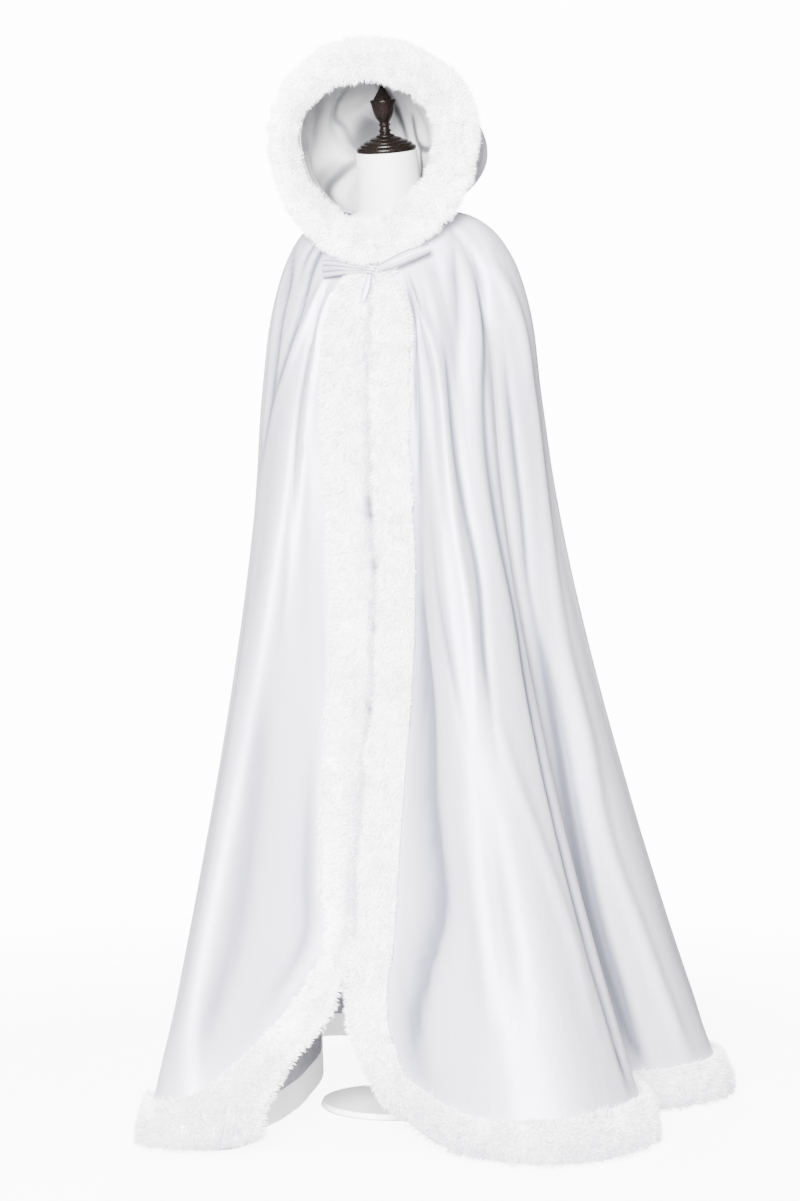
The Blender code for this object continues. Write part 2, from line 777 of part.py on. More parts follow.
def neck_point(angle, radius, along):
    """Point round the leaning neck, at a distance along it."""
    lean = math.radians(NECK_LEAN)
    x = radius * math.sin(angle)
    y = -radius * math.cos(angle)
    return np.array((
        NECK_BASE[0] + x,
        NECK_BASE[1] + y * math.cos(lean) - along * math.sin(lean),
        NECK_BASE[2] + y * -math.sin(lean) + along * math.cos(lean),
    ))


def make_neck():
    """Plain neck and the turned wooden cap on it."""
    angles = [2 * math.pi * k / TORSO_SIDES for k in range(TORSO_SIDES)]
    rings = [[neck_point(a, NECK_RADIUS, along) for a in angles] for along in (NECK_SEAM, NECK_LENGTH)]
    loft("form_neck", rings, "form")
    turned = [2 * math.pi * k / CAP_SIDES for k in range(CAP_SIDES)]
    foot = NECK_LENGTH + SEAM_GAP
    rings = [[neck_point(a, r, foot + up) for a in turned] for r, up in CAP_PROFILE]
    loft("form_cap", rings, "wood")


def make_stand():
    """Pole and round foot."""
    spin = [2 * math.pi * k / 32 for k in range(32)]
    profile = (
        (BASE_RADIUS - BASE_EDGE, 0.0),
        (BASE_RADIUS, BASE_EDGE),
        (BASE_RADIUS - BASE_EDGE, BASE_HEIGHT),
        (SOCKET_RADIUS, BASE_HEIGHT),
        (SOCKET_RADIUS, SOCKET_HEIGHT),
    )
    rings = [[(r * math.sin(a), -r * math.cos(a), z) for a in spin] for r, z in profile]
    loft("stand_base", rings, "stand")
    pole = [(SOCKET_HEIGHT + SEAM_GAP), POLE_TOP]
    rings = [
        [(POLE_RADIUS * math.sin(a), POLE_RADIUS * -math.cos(a), z) for a in spin[::2]]
        for z in pole
    ]
    loft("stand_pole", rings, "stand")


def main():
    """Build every piece."""
    clear_scene()
    grid = refine(drape(), SEGMENTS_PER_FOLD)
    normals = surface_normals(grid)
    make_panels(grid, normals)
    strip = SEGMENTS_PER_FOLD
    last = len(grid) - 1
    make_front_fur("front_fur_right", grid, normals, slice(0, strip + 1), 0)
    make_front_fur("front_fur_left", grid, normals, slice(last - strip, last + 1), last)
    panels = split_columns()
    right_seam = panels["front_right"][1]
    left_seam = panels["back"][1]
    make_hem_fur("hem_fur_right", grid, normals, strip, right_seam, BAND_JOINT, SEAM_GAP / 2)
    make_hem_fur("hem_fur_back", grid, normals, right_seam, left_seam, SEAM_GAP / 2, SEAM_GAP / 2)
    make_hem_fur("hem_fur_left", grid, normals, left_seam, last - strip, SEAM_GAP / 2, BAND_JOINT)
    make_facing(grid, normals)
    make_hood()
    make_face_ring()
    ribbon("tie_left", TIE_LEFT)
    ribbon("tie_right", TIE_RIGHT)
    ribbon("tie_tail", TIE_TAIL)
    make_knot()
    make_torso()
    make_neck()
    make_stand()


main()
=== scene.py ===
"""Looks of a full-length hooded satin cloak with plush trim on a limbless dress form.

Metres, +Z up, the cloak's front faces -Y and +X is the wearer's left. The cloth follows the
same named lines of the drape as its solids, evaluated finely, with soft creases laid on it.
The plush is a woolly base with single hairs that reach the solid's own surface.
"""

import logging
import math
from dataclasses import dataclass, field
from enum import Enum

import bmesh
import bpy
import numpy as np
from mathutils import Euler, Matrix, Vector


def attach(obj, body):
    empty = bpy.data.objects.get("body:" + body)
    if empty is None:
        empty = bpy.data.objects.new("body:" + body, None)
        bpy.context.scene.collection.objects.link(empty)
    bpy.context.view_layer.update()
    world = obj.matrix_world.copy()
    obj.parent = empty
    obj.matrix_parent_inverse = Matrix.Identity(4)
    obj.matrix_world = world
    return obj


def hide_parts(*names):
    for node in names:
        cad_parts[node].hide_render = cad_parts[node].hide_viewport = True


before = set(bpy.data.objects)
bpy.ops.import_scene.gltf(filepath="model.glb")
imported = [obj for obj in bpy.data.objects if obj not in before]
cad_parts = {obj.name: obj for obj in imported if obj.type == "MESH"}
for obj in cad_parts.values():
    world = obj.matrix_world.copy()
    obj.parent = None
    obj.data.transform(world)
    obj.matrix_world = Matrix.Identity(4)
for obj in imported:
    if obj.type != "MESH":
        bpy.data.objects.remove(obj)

LOG = logging.getLogger("cloak")
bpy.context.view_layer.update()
RIM_ANGLE = math.radians(50.0)

Colour = tuple[float, float, float, float]
Triple = tuple[float, float, float]
Pair = tuple[float, float]
Pairs = tuple[tuple[float, float], ...]
Rows = tuple[tuple[float, ...], ...]


class Side(Enum):
    """Side of the wearer, as the sign of X."""

    RIGHT = -1.0
    LEFT = 1.0


class Hold(Enum):
    """How a sheet of cloth is held."""

    HUNG = "hung"
    GATHERED = "gathered"


class Wire:
    """A socket that takes part in arithmetic on numbers."""

    def __init__(self, bench: "Bench", socket: bpy.types.NodeSocket) -> None:
        """Keep the bench that new nodes go on and the socket."""
        self.bench = bench
        self.socket = socket

    def maths(self, operation: str, first: object, second: object) -> "Wire":
        """Add one Math node.

        Args:
            operation: The node's operation.
            first: First number or wire.
            second: Second number or wire.

        Returns:
            The node's result.
        """
        return self.bench.node("ShaderNodeMath", {"operation": operation}, {0: first, 1: second})

    def __add__(self, other: object) -> "Wire":
        """Sum."""
        return self.maths("ADD", self, other)

    __radd__ = __add__

    def __sub__(self, other: object) -> "Wire":
        """Difference."""
        return self.maths("SUBTRACT", self, other)

    def __rsub__(self, other: object) -> "Wire":
        """Difference with this wire taken away."""
        return self.maths("SUBTRACT", other, self)

    def __mul__(self, other: object) -> "Wire":
        """Product."""
        return self.maths("MULTIPLY", self, other)

    def limit(self) -> "Wire":
        """Keep between nought and one."""
        return self.maths("MINIMUM", self.maths("MAXIMUM", self, 0.0), 1.0)


class Bench:
    """The nodes of one material."""

    def __init__(self, name: str) -> None:
        """Start a Principled material.

        Args:
            name: The material's name.
        """
        self.material = bpy.data.materials.new(name)
        self.material.use_nodes = True
        self.tree = self.material.node_tree
        self.shader = self.tree.nodes["Principled BSDF"]

    def node(
        self, kind: str, settings: dict[str, object], inputs: dict[object, object], output: object = 0
    ) -> Wire:
        """Add a node.

        Args:
            kind: The node's type.
            settings: Attributes, set before any socket.
            inputs: Values or wires of its sockets.
            output: Which output to return.

        Returns:
            The wire from that output.
        """
        made = self.tree.nodes.new(kind)
        for key, value in settings.items():
            setattr(made, key, value)
        for key, value in inputs.items():
            self.feed(made.inputs[key], value)
        return Wire(self, made.outputs[output])

    def feed(self, socket: bpy.types.NodeSocket, value: object) -> None:
        """Link a wire to a socket, or set its value.

        Args:
            socket: The socket.
            value: A wire, or the value to set.
        """
        if isinstance(value, Wire):
            self.tree.links.new(value.socket, socket)
        else:
            socket.default_value = value

    def set(self, **values: object) -> None:
        """Set sockets of the shader; an underscore in a name stands for a space."""
        for key, value in values.items():
            self.feed(self.shader.inputs[key.replace("_", " ")], value)

    def place(self, scale: Triple = (1.0, 1.0, 1.0), uv: bool = False) -> Wire:
        """Object or UV coordinates, stretched by scale."""
        where = self.node("ShaderNodeTexCoord", {}, {}, "UV" if uv else "Object")
        return self.node("ShaderNodeMapping", {}, {"Vector": where, "Scale": scale})

    def noise(self, where: Wire, scale: float, detail: float, roughness: float = 0.5) -> Wire:
        """Noise between nought and one."""
        inputs = {"Vector": where, "Scale": scale, "Detail": detail, "Roughness": roughness}
        return self.node("ShaderNodeTexNoise", {}, inputs)

    def waves(self, where: Wire, scale: float, direction: str) -> Wire:
        """Bands along one axis."""
        settings = {"wave_type": "BANDS", "bands_direction": direction}
        return self.node("ShaderNodeTexWave", settings, {"Vector": where, "Scale": scale}, "Fac")

    def blend(self, share: object, first: object, second: object) -> Wire:
        """Mix two colours.

        Args:
            share: Share of the second colour.
            first: First colour.
            second: Second colour.

        Returns:
            The mixed colour.
        """
        made = self.tree.nodes.new("ShaderNodeMix")
        made.data_type = "RGBA"
        self.feed(made.inputs[0], share)
        self.feed(made.inputs[6], first)
        self.feed(made.inputs[7], second)
        return Wire(self, made.outputs[2])

    def attribute(self, name: str) -> Wire:
        """A number kept on the mesh's points."""
        return self.node("ShaderNodeAttribute", {"attribute_name": name}, {}, "Fac")

    def bump(self, height: Wire, distance: float, strength: float, under: Wire | None = None) -> Wire:
        """Bump from a height, over another bump if one is given.

        Args:
            height: The height.
            distance: Height in metres of a full step.
            strength: Share of the bump that shows.
            under: The bump below it, if any.

        Returns:
            The bent normal.
        """
        inputs = {"Height": height, "Distance": distance, "Strength": strength}
        if under is not None:
            inputs["Normal"] = under
        return self.node("ShaderNodeBump", {}, inputs)


@dataclass(frozen=True)
class SatinFinish:
    """Polyester satin: smooth floats of thread with a soft sheen, and shade painted in a cool tint in its
    folds.
    """

    name: str = "white_satin"
    light: Colour = (0.530, 0.522, 0.590, 1.0)
    # Painted shade: the colour laid into folds and hollows, not a colour of the cloth.
    shade: Colour = (0.160, 0.162, 0.208, 1.0)
    roughness: float = 0.57
    lustre: float = 0.32
    thread: float = 1500.0
    # Strength of painted light: the satin gives off its own colour, though it is no lamp.
    painted_glow: float = 0.0

    def make(self) -> bpy.types.Material:
        """Build the material; the trough attribute says how much shade is painted on a point, most deep in a
        fold.

        Returns:
            The material.
        """
        bench = Bench(self.name)
        cut = bench.place(uv=True)
        # The trough attribute holds painted shade, strongest in deep folds and hollows.
        deep = bench.attribute("trough").limit()
        cloud = bench.noise(bench.place((1.0, 1.0, 0.35)), 9.0, 3.0)
        colour = bench.blend((deep + (cloud - 0.5) * 0.16).limit(), self.light, self.shade)
        warp = bench.waves(cut, self.thread, "X")
        weft = bench.waves(cut, self.thread * 0.45, "Y")
        pucker = bench.noise(bench.place((1.0, 1.0, 0.30)), 26.0, 3.0)
        slub = bench.noise(cut, 320.0, 2.0)
        soft = bench.bump(pucker, 0.0035, 0.55)
        fine = bench.bump(warp * 0.7 + weft * 0.3 + slub * 0.8, 0.00006, 0.5, soft)
        bench.set(
            Base_Color=colour,
            Roughness=self.roughness + (cloud - 0.5) * 0.10,
            Normal=fine,
            Metallic=self.lustre,
            Specular_IOR_Level=0.6,
            Sheen_Weight=0.10,
            Sheen_Roughness=0.35,
            # Painted light: emission of the satin's own colour.
            Emission_Color=self.light,
            Emission_Strength=self.painted_glow,
        )
        return bench.material


@dataclass(frozen=True)
class PlushFinish:
    """Long white polyester plush."""

    name: str = "white_plush"
    tip: Colour = (0.975, 0.975, 0.980, 1.0)
    # Painted shade: hairs darken towards this colour at their roots, deep in the pile.
    root: Colour = (0.480, 0.480, 0.515, 1.0)
    # Painted shade: near-black colour laid where the two front bands meet.
    painted_gap_shade: Colour = (0.022, 0.022, 0.028, 1.0)
    # Strength of painted light: the plush gives off its own colour, though it is no lamp.
    painted_glow: float = 1.50

    def make(self) -> bpy.types.Material:
        """Build the material; the hair attribute runs from root to tip and paints shade towards the roots,
        and below nought it paints shade where two bands meet.

        Returns:
            The material.
        """
        bench = Bench(self.name)
        place = bench.attribute("hair")
        along = place.limit()
        patch = bench.noise(bench.place(), 60.0, 3.0)
        drift = bench.noise(bench.place(), 18.0, 2.0)
        white = along * 1.15 + (patch - 0.5) * 0.35 + (drift - 0.5) * 0.55
        colour = bench.blend(white.limit(), self.root, self.tip)
        # Painted shade where the front bands meet, from a hair attribute below nought.
        colour = bench.blend((place * -1.0).limit(), colour, self.painted_gap_shade)
        wool = bench.noise(bench.place(), 900.0, 2.0)
        bench.set(
            Base_Color=colour,
            Roughness=0.80 + (patch - 0.5) * 0.2,
            Normal=bench.bump(wool, 0.0008, 0.6),
            Sheen_Weight=0.35,
            Sheen_Roughness=0.5,
            # Painted light: the plush's colour given off as emission.
            Emission_Color=colour,
            Emission_Strength=self.painted_glow,
        )
        return bench.material


@dataclass(frozen=True)
class JerseyFinish:
    """White knitted cover of the dress form."""

    name: str = "form_jersey"
    colour: Colour = (0.610, 0.608, 0.620, 1.0)
    stitch: float = 900.0

    def make(self) -> bpy.types.Material:
        """Build the material.

        Returns:
            The material.
        """
        bench = Bench(self.name)
        place = bench.place((1.0, 1.0, 1.4))
        knit = bench.node("ShaderNodeTexVoronoi", {}, {"Vector": place, "Scale": self.stitch}, "Distance")
        cloud = bench.noise(bench.place(), 12.0, 3.0)
        worn = tuple(value * 0.94 for value in self.colour[:3]) + (1.0,)
        bench.set(
            Base_Color=bench.blend((cloud * 0.8).limit(), self.colour, worn),
            Roughness=0.62 + (cloud - 0.5) * 0.12,
            Normal=bench.bump(knit, 0.0002, 0.5),
            Sheen_Weight=0.2,
        )
        return bench.material


@dataclass(frozen=True)
class TurnedWoodFinish:
    """Dark stained and lacquered wood, turned on a lathe."""

    name: str = "dark_turned_wood"
    dark: Colour = (0.0016, 0.0012, 0.0011, 1.0)
    light: Colour = (0.0090, 0.0062, 0.0050, 1.0)

    def make(self) -> bpy.types.Material:
        """Build the material.

        Returns:
            The material.
        """
        bench = Bench(self.name)
        grain = bench.noise(bench.place((1.0, 1.0, 0.12)), 260.0, 6.0, 0.6)
        cloud = bench.noise(bench.place(), 30.0, 2.0)
        tool = bench.waves(bench.place(), 600.0, "Z")
        bench.set(
            Base_Color=bench.blend((grain * 1.3 + cloud * 0.3 - 0.35).limit(), self.dark, self.light),
            Roughness=0.24 + (cloud - 0.5) * 0.14,
            Normal=bench.bump(grain * 0.6 + tool * 0.4, 0.0003, 0.35),
            Specular_IOR_Level=0.10,
            Coat_Weight=0.06,
            Coat_Roughness=0.10,
        )
        return bench.material


@dataclass(frozen=True)
class PaintedSteelFinish:
    """White powder-coated steel of the stand, a little rubbed."""

    name: str = "powder_coated_steel"
    colour: Colour = (0.94, 0.94, 0.945, 1.0)
    rubbed: Colour = (0.74, 0.74, 0.75, 1.0)

    def make(self) -> bpy.types.Material:
        """Build the material.

        Returns:
            The material.
        """
        bench = Bench(self.name)
        cloud = bench.noise(bench.place(), 16.0, 4.0)
        grit = bench.noise(bench.place(), 1400.0, 2.0)
        scuff = ((bench.noise(bench.place((1.0, 1.0, 0.2)), 90.0, 5.0) - 0.62) * 6.0).limit()
        bench.set(
            Base_Color=bench.blend(scuff * 0.5, self.colour, self.rubbed),
            Roughness=0.36 + (cloud - 0.5) * 0.15,
            Normal=bench.bump(grit, 0.00015, 0.5),
        )
        return bench.material


@dataclass(frozen=True)
class FloorFinish:
    """Plain pale studio floor that fades into the white surroundings."""

    name: str = "studio_floor"
    near: float = 0.9
    far: float = 2.6
    body: float = 0.42

    def make(self) -> bpy.types.Material:
        """Build the material.

        Returns:
            The material.
        """
        bench = Bench(self.name)
        away = bench.node("ShaderNodeVectorMath", {"operation": "LENGTH"}, {0: bench.place()}, "Value")
        fade = (1.0 - (away - self.near) * (1.0 / (self.far - self.near))).limit()
        shown = fade * fade * (3.0 - fade * 2.0) * self.body
        bench.set(Base_Color=(0.97, 0.97, 0.97, 1.0), Roughness=0.9, Alpha=shown)
        return bench.material


def curve_through(knots: object, values: object, at: object) -> np.ndarray:
    """Smooth curve through values at knots.

    Args:
        knots: Rising places of the values.
        values: One row for each knot.
        at: Places to read.

    Returns:
        One row for each place, from cubic Hermite pieces.
    """
    knots = np.asarray(knots, float)
    values = np.asarray(values, float)
    at = np.asarray(at, float)
    flat = [1] * (values.ndim - 1)
    steps = np.diff(knots)
    slopes = np.diff(values, axis=0) / steps.reshape(-1, *flat)
    tangents = np.empty_like(values)
    tangents[0] = slopes[0]
    tangents[-1] = slopes[-1]
    before = steps[:-1].reshape(-1, *flat)
    after = steps[1:].reshape(-1, *flat)
    tangents[1:-1] = (slopes[:-1] * after + slopes[1:] * before) / (before + after)
    cell = np.clip(np.searchsorted(knots, at, side="right") - 1, 0, len(knots) - 2)
    width = steps[cell].reshape(-1, *flat)
    part = ((at - knots[cell]) / steps[cell]).reshape(-1, *flat)
    return (
        (2 * part**3 - 3 * part**2 + 1) * values[cell]
        + (part**3 - 2 * part**2 + part) * width * tangents[cell]
        + (3 * part**2 - 2 * part**3) * values[cell + 1]
        + (part**3 - part**2) * width * tangents[cell + 1]
    )


def smooth_step(low: float, high: float, value: np.ndarray) -> np.ndarray:
    """Rise smoothly from nought at low to one at high."""
    part = np.clip((value - low) / (high - low), 0.0, 1.0)
    return part * part * (3.0 - 2.0 * part)


def unit(vectors: np.ndarray) -> np.ndarray:
    """The vectors at length one."""
    return vectors / np.maximum(np.linalg.norm(vectors, axis=-1, keepdims=True), 1e-12)


def surface_normals(grid: np.ndarray) -> np.ndarray:
    """Outward unit normal at each point of a grid of columns."""
    return unit(np.cross(np.gradient(grid, axis=0), np.gradient(grid, axis=1)))


def select_only(*things: bpy.types.Object) -> None:
    """Select these objects and no other, with the first one active.

    Args:
        *things: The objects to select; with none given, the selection is only cleared.
    """
    for other in bpy.context.selected_objects:
        other.select_set(False)
    for thing in things:
        thing.select_set(True)
    if things:
        bpy.context.view_layer.objects.active = things[0]


def link_mesh(name: str, mesh: bpy.types.Mesh, finish: bpy.types.Material) -> bpy.types.Object:
    """Link a mesh as an object with one finish.

    Args:
        name: The object's name.
        mesh: Its mesh, in the row frame.
        finish: Its material.

    Returns:
        The new object.
    """
    mesh.materials.append(finish)
    mesh.shade_smooth()
    thing = bpy.data.objects.new(name, mesh)
    bpy.context.scene.collection.objects.link(thing)
    return thing


def raw_mesh(name: str, points: np.ndarray, corners: np.ndarray, starts: np.ndarray) -> bpy.types.Mesh:
    """Mesh from its points, the point at each corner, and the first corner of each face.

    Args:
        name: The mesh's name.
        points: Its points.
        corners: The point at each corner of each face.
        starts: The first corner of each face.

    Returns:
        The mesh, with its edges worked out.
    """
    mesh = bpy.data.meshes.new(name)
    mesh.vertices.add(points.size // 3)
    mesh.vertices.foreach_set("co", points.reshape(-1).astype(np.float32))
    mesh.loops.add(corners.size)
    mesh.loops.foreach_set("vertex_index", corners.reshape(-1).astype(np.int32))
    mesh.polygons.add(starts.size)
    mesh.polygons.foreach_set("loop_start", starts.reshape(-1).astype(np.int32))
    mesh.update(calc_edges=True)
    return mesh


def mark_points(mesh: bpy.types.Mesh, key: str, values: np.ndarray) -> None:
    """Keep a number on each point of a mesh."""
    kept = mesh.attributes.new(key, "FLOAT", "POINT").data
    kept.foreach_set("value", values.reshape(-1).astype(np.float32))


def grid_mesh(name: str, points: np.ndarray, deep: np.ndarray) -> bpy.types.Mesh:
    """Mesh of a grid of columns with a UV map in metres.

    Args:
        name: The mesh's name.
        points: Grid of points.
        deep: Painted shade of each point, most deep in a fold.

    Returns:
        The mesh, facing outwards.
    """
    index = np.arange(deep.size).reshape(deep.shape)
    corners = np.stack((index[:-1, :-1], index[:-1, 1:], index[1:, 1:], index[1:, :-1]), axis=-1)
    mesh = raw_mesh(name, points, corners, np.arange(0, corners.size, 4))
    sizes = cloth_sizes(points).reshape(-1, 2)[corners.reshape(-1)]
    mesh.uv_layers.new(name="cut").data.foreach_set("uv", sizes.reshape(-1).astype(np.float32))
    # The trough attribute holds the painted shade of each point.
    mark_points(mesh, "trough", deep)
    mesh.validate()
    return mesh


def thicken(thing: bpy.types.Object, thickness: float) -> None:
    """Give a sheet its thickness, half to each side, with rims kept out of its smooth shading.

    Args:
        thing: The sheet.
        thickness: Its thickness.
    """
    select_only(thing)
    wall = thing.modifiers.new("wall", "SOLIDIFY")
    wall.thickness = thickness
    wall.offset = 0.0
    wall.use_even_offset = False
    bpy.ops.object.modifier_apply(modifier=wall.name)
    thing.data.set_sharp_from_angle(angle=RIM_ANGLE)
    thing.select_set(False)


def cloth_wall(
    name: str, points: np.ndarray, deep: np.ndarray, finish: bpy.types.Material, thickness: float
) -> bpy.types.Object:
    """Piece of cloth through a grid of points.

    Args:
        name: The object's name.
        points: Grid of points in the middle of the cloth.
        deep: Painted shade of each point, most deep in a fold.
        finish: Its material.
        thickness: Its thickness.

    Returns:
        The piece, with its thickness.
    """
    thing = link_mesh(name, grid_mesh(name, points, deep), finish)
    thicken(thing, thickness)
    return thing


def cloth_sizes(points: np.ndarray) -> np.ndarray:
    """Coordinates of the cloth in metres: across by the mean of its rows, and down each column.

    Args:
        points: Grid of points of the cloth.

    Returns:
        Width and length of the cloth up to each point.
    """
    across = np.linalg.norm(np.diff(points, axis=0), axis=2).mean(axis=1)
    down = np.linalg.norm(np.diff(points, axis=1), axis=2)
    width = np.concatenate(([0.0], np.cumsum(across)))
    length = np.concatenate((np.zeros((len(points), 1)), np.cumsum(down, axis=1)), axis=1)
    return np.stack((np.repeat(width[:, None], points.shape[1], axis=1), length), axis=-1)


@dataclass(frozen=True)
class Crease:
    """A soft ridge or trough along a line of (row, station) places on the drape."""

    height: float
    width: float
    line: Pairs
    longest_fade: float = 1.6
    fades: float = 2.2
    overrun: float = 0.3

    def lift(self, row: np.ndarray, station: np.ndarray, pitch: np.ndarray) -> np.ndarray:
        """How far the crease moves each point of the drape out.

        Args:
            row: Row of each point.
            station: Station of each point.
            pitch: Width of a station there, in metres.

        Returns:
            The move along the normal, negative in a trough.
        """
        places = np.array(self.line)
        at = np.clip(row, places[0, 0], places[-1, 0])
        middle = curve_through(places[:, 0], places[:, 1], at.reshape(-1)).reshape(row.shape)
        apart = (station - middle) * pitch / self.width
        reach = places[-1, 0] - places[0, 0]
        fade = min(self.longest_fade, reach / self.fades)
        over = fade * self.overrun
        ends = smooth_step(places[0, 0] - over, places[0, 0] + fade, row)
        ends = ends * (1.0 - smooth_step(places[-1, 0] - fade, places[-1, 0] + over, row))
        return self.height * ends * np.exp(-apart * apart)


@dataclass
class CloakDrape:
    """Surface that the back, the two fronts and their trim follow.

    Stations run from the right front edge round the back to the left one, rows from the
    neckline to the hem.
    """

    chest_z: float = 1.27
    hem_z: float = 0.011
    band_top: float = 0.081
    heights: tuple[float, ...] = (1.14, 1.00, 0.86, 0.72, 0.58, 0.44, 0.33, 0.23, 0.15)
    yoke_steps: tuple[float, ...] = (0.0, 0.14, 0.28, 0.42, 0.58, 0.78, 1.0)
    flare: float = 1.36
    chest: Triple = (0.252, 0.190, 0.030)
    neck: Triple = (0.082, 0.092, -0.022)
    neck_spread: float = 0.4
    front_run: Rows = (
        (1.495, 0.002, -0.116, -0.032, -0.112, 0.036, -0.111, 0.012, -0.116),
        (1.420, 0.002, -0.128, -0.068, -0.128, 0.076, -0.130, 0.012, -0.128),
        (1.270, 0.002, -0.137, -0.078, -0.142, 0.086, -0.146, 0.012, -0.137),
        (1.140, 0.002, -0.139, -0.078, -0.134, 0.086, -0.138, 0.012, -0.139),
        (1.000, 0.004, -0.122, -0.078, -0.118, 0.088, -0.118, 0.012, -0.122),
        (0.860, 0.006, -0.120, -0.076, -0.118, 0.090, -0.124, 0.014, -0.120),
        (0.720, 0.004, -0.138, -0.076, -0.138, 0.090, -0.148, 0.012, -0.138),
        (0.580, 0.002, -0.172, -0.078, -0.156, 0.088, -0.176, 0.010, -0.172),
        (0.440, 0.000, -0.199, -0.078, -0.168, 0.084, -0.192, 0.010, -0.199),
        (0.300, -0.001, -0.238, -0.076, -0.194, 0.080, -0.210, 0.012, -0.226),
        (0.190, -0.022, -0.326, -0.122, -0.292, 0.084, -0.246, 0.022, -0.262),
        (0.090, -0.064, -0.410, -0.138, -0.404, 0.148, -0.280, 0.082, -0.282),
        (0.011, -0.066, -0.426, -0.140, -0.456, 0.226, -0.334, 0.160, -0.306),
    )
    folds: Rows = (
        (-34.0, 0.004, -0.212, -0.466),
        (-49.0, 0.003, -0.278, -0.448),
        (-63.0, 0.002, -0.290, -0.392),
        (-76.0, -0.003, -0.232, -0.325),
        (-87.0, -0.002, -0.140, -0.280),
        (-95.0, 0.004, -0.136, -0.140),
        (-103.0, 0.002, -0.158, -0.010),
        (-113.0, -0.003, -0.190, 0.130),
        (-123.0, 0.001, -0.240, 0.260),
        (-133.0, -0.002, -0.285, 0.365),
        (-141.0, 0.005, -0.345, 0.465),
        (-150.0, 0.004, -0.290, 0.520),
        (-159.0, -0.005, -0.190, 0.455),
        (-168.0, 0.005, -0.105, 0.530),
        (-177.0, 0.003, -0.020, 0.535),
        (-186.0, -0.005, 0.050, 0.440),
        (-196.0, 0.006, 0.150, 0.530),
        (-206.0, -0.003, 0.225, 0.450),
        (-216.0, 0.005, 0.320, 0.490),
        (-228.0, -0.005, 0.365, 0.370),
        (-246.0, 0.003, 0.475, 0.385),
        (-264.0, 0.006, 0.538, 0.310),
        (-281.0, 0.005, 0.535, 0.205),
        (-293.0, -0.003, 0.470, 0.110),
        (-300.0, -0.010, 0.405, 0.050),
        (-306.0, 0.003, 0.470, -0.030),
        (-313.0, 0.002, 0.512, -0.150),
        (-320.0, -0.002, 0.466, -0.305),
        (-326.0, 0.006, 0.385, -0.358),
        (-332.0, 0.000, 0.306, -0.352),
    )
    right_trim: float = 1.0
    right_seam: float = 8.0
    left_seam: float = 26.0
    left_trim: float = 32.0
    last: float = 33.0
    last_row: float = 17.0
    corner_from: float = 14.6
    left_corner: Pair = (0.75, 1.3)
    right_corner: float = 0.22
    tuck: float = 0.20
    tuck_reach: float = 1.1
    tuck_rows: Pair = (14.2, 15.4)
    yoke: dict[str, tuple[float, ...]] = field(default_factory=lambda: {
        "front": (1.495, 0.30, 1.460, 0.85, 1.380),
        "side": (1.598, 0.68, 1.616, 0.97, 1.475),
        "back": (1.586, 0.45, 1.565, 0.90, 1.440),
    })

    def quarter(self, angle: float, column: int) -> float:
        """A yoke size at a bearing, between its front, side and back values.

        Args:
            angle: Bearing from the front, in radians.
            column: Column of the yoke's table.

        Returns:
            The size at that bearing.
        """
        forward = math.cos(angle)
        return (
            max(0.0, forward) ** 2 * self.yoke["front"][column]
            + math.sin(angle) ** 2 * self.yoke["side"][column]
            + max(0.0, -forward) ** 2 * self.yoke["back"][column]
        )

    def neckline(self, angle: float) -> np.ndarray:
        """Point of the neckline at a bearing from the front."""
        wide, deep, middle = self.neck
        return np.array((wide * math.sin(angle), middle - deep * math.cos(angle), self.quarter(angle, 0)))

    def fold_line(self, degrees: float, out: float, hem_x: float, hem_y: float) -> np.ndarray:
        """One line from the neckline over the shoulder to the hem.

        Args:
            degrees: Ring angle at the chest.
            out: How far the fold stands out there.
            hem_x: Its x at the hem.
            hem_y: Its y at the hem.

        Returns:
            One point for each row.
        """
        angle = math.radians(degrees)
        wide, deep, middle = self.chest
        end = np.array((
            (wide + out) * math.sin(angle),
            middle - (deep + out) * math.cos(angle),
            self.chest_z,
        ))
        turn = self.neck_spread * math.sin(angle) * (1.0 + math.cos(angle)) / 2
        start = self.neckline(angle + turn)
        near = start + (end - start) * self.quarter(angle, 1)
        far = start + (end - start) * self.quarter(angle, 3)
        near[2] = self.quarter(angle, 2)
        far[2] = self.quarter(angle, 4)
        points = []
        for step in self.yoke_steps:
            rest = 1.0 - step
            low = rest**3 * start + 3 * rest**2 * step * near
            points.append(low + 3 * rest * step**2 * far + step**3 * end)
        hem = np.array((hem_x, hem_y, self.hem_z))
        for height in (*self.heights, self.band_top, self.hem_z):
            fall = ((self.chest_z - height) / (self.chest_z - self.hem_z)) ** self.flare
            point = end + (hem - end) * fall
            point[2] = height
            points.append(point)
        return np.array(points)

    def front_line(self, column: int) -> np.ndarray:
        """A front edge or band seam, from two columns of the front run.

        Args:
            column: First of its two columns in the front run.

        Returns:
            Points of the line, from the neck down.
        """
        table = np.array(self.front_run)[::-1]
        top = table[-1, 0]
        yoke = [top + (self.chest_z - top) * step for step in self.yoke_steps]
        heights = [*yoke, *self.heights, self.band_top, self.hem_z]
        plan = curve_through(table[:, 0], table[:, column:column + 2], heights)
        return np.column_stack((plan, heights))

    def lines(self) -> np.ndarray:
        """Every line of the drape.

        Returns:
            Points of each line, from the neck down.
        """
        lines = [self.front_line(1), self.front_line(3)]
        lines += [self.fold_line(*row) for row in self.folds]
        return np.array([*lines, self.front_line(5), self.front_line(7)])

    def places(self, station: float, rows: np.ndarray) -> np.ndarray:
        """Rows of one column, drawn up where the lower corners of the fronts are rounded.

        Args:
            station: The column's station.
            rows: Rows as if the corner were square.

        Returns:
            Rows of the column itself.
        """
        rise, width = self.left_corner
        cut = rise * max(0.0, 1.0 - (self.last - station) / width) ** 2
        cut += self.right_corner * max(0.0, 1.0 - station) ** 2
        start = self.corner_from
        share = (self.last_row - cut - start) / (self.last_row - start)
        return np.where(rows > start, start + (rows - start) * share, rows)

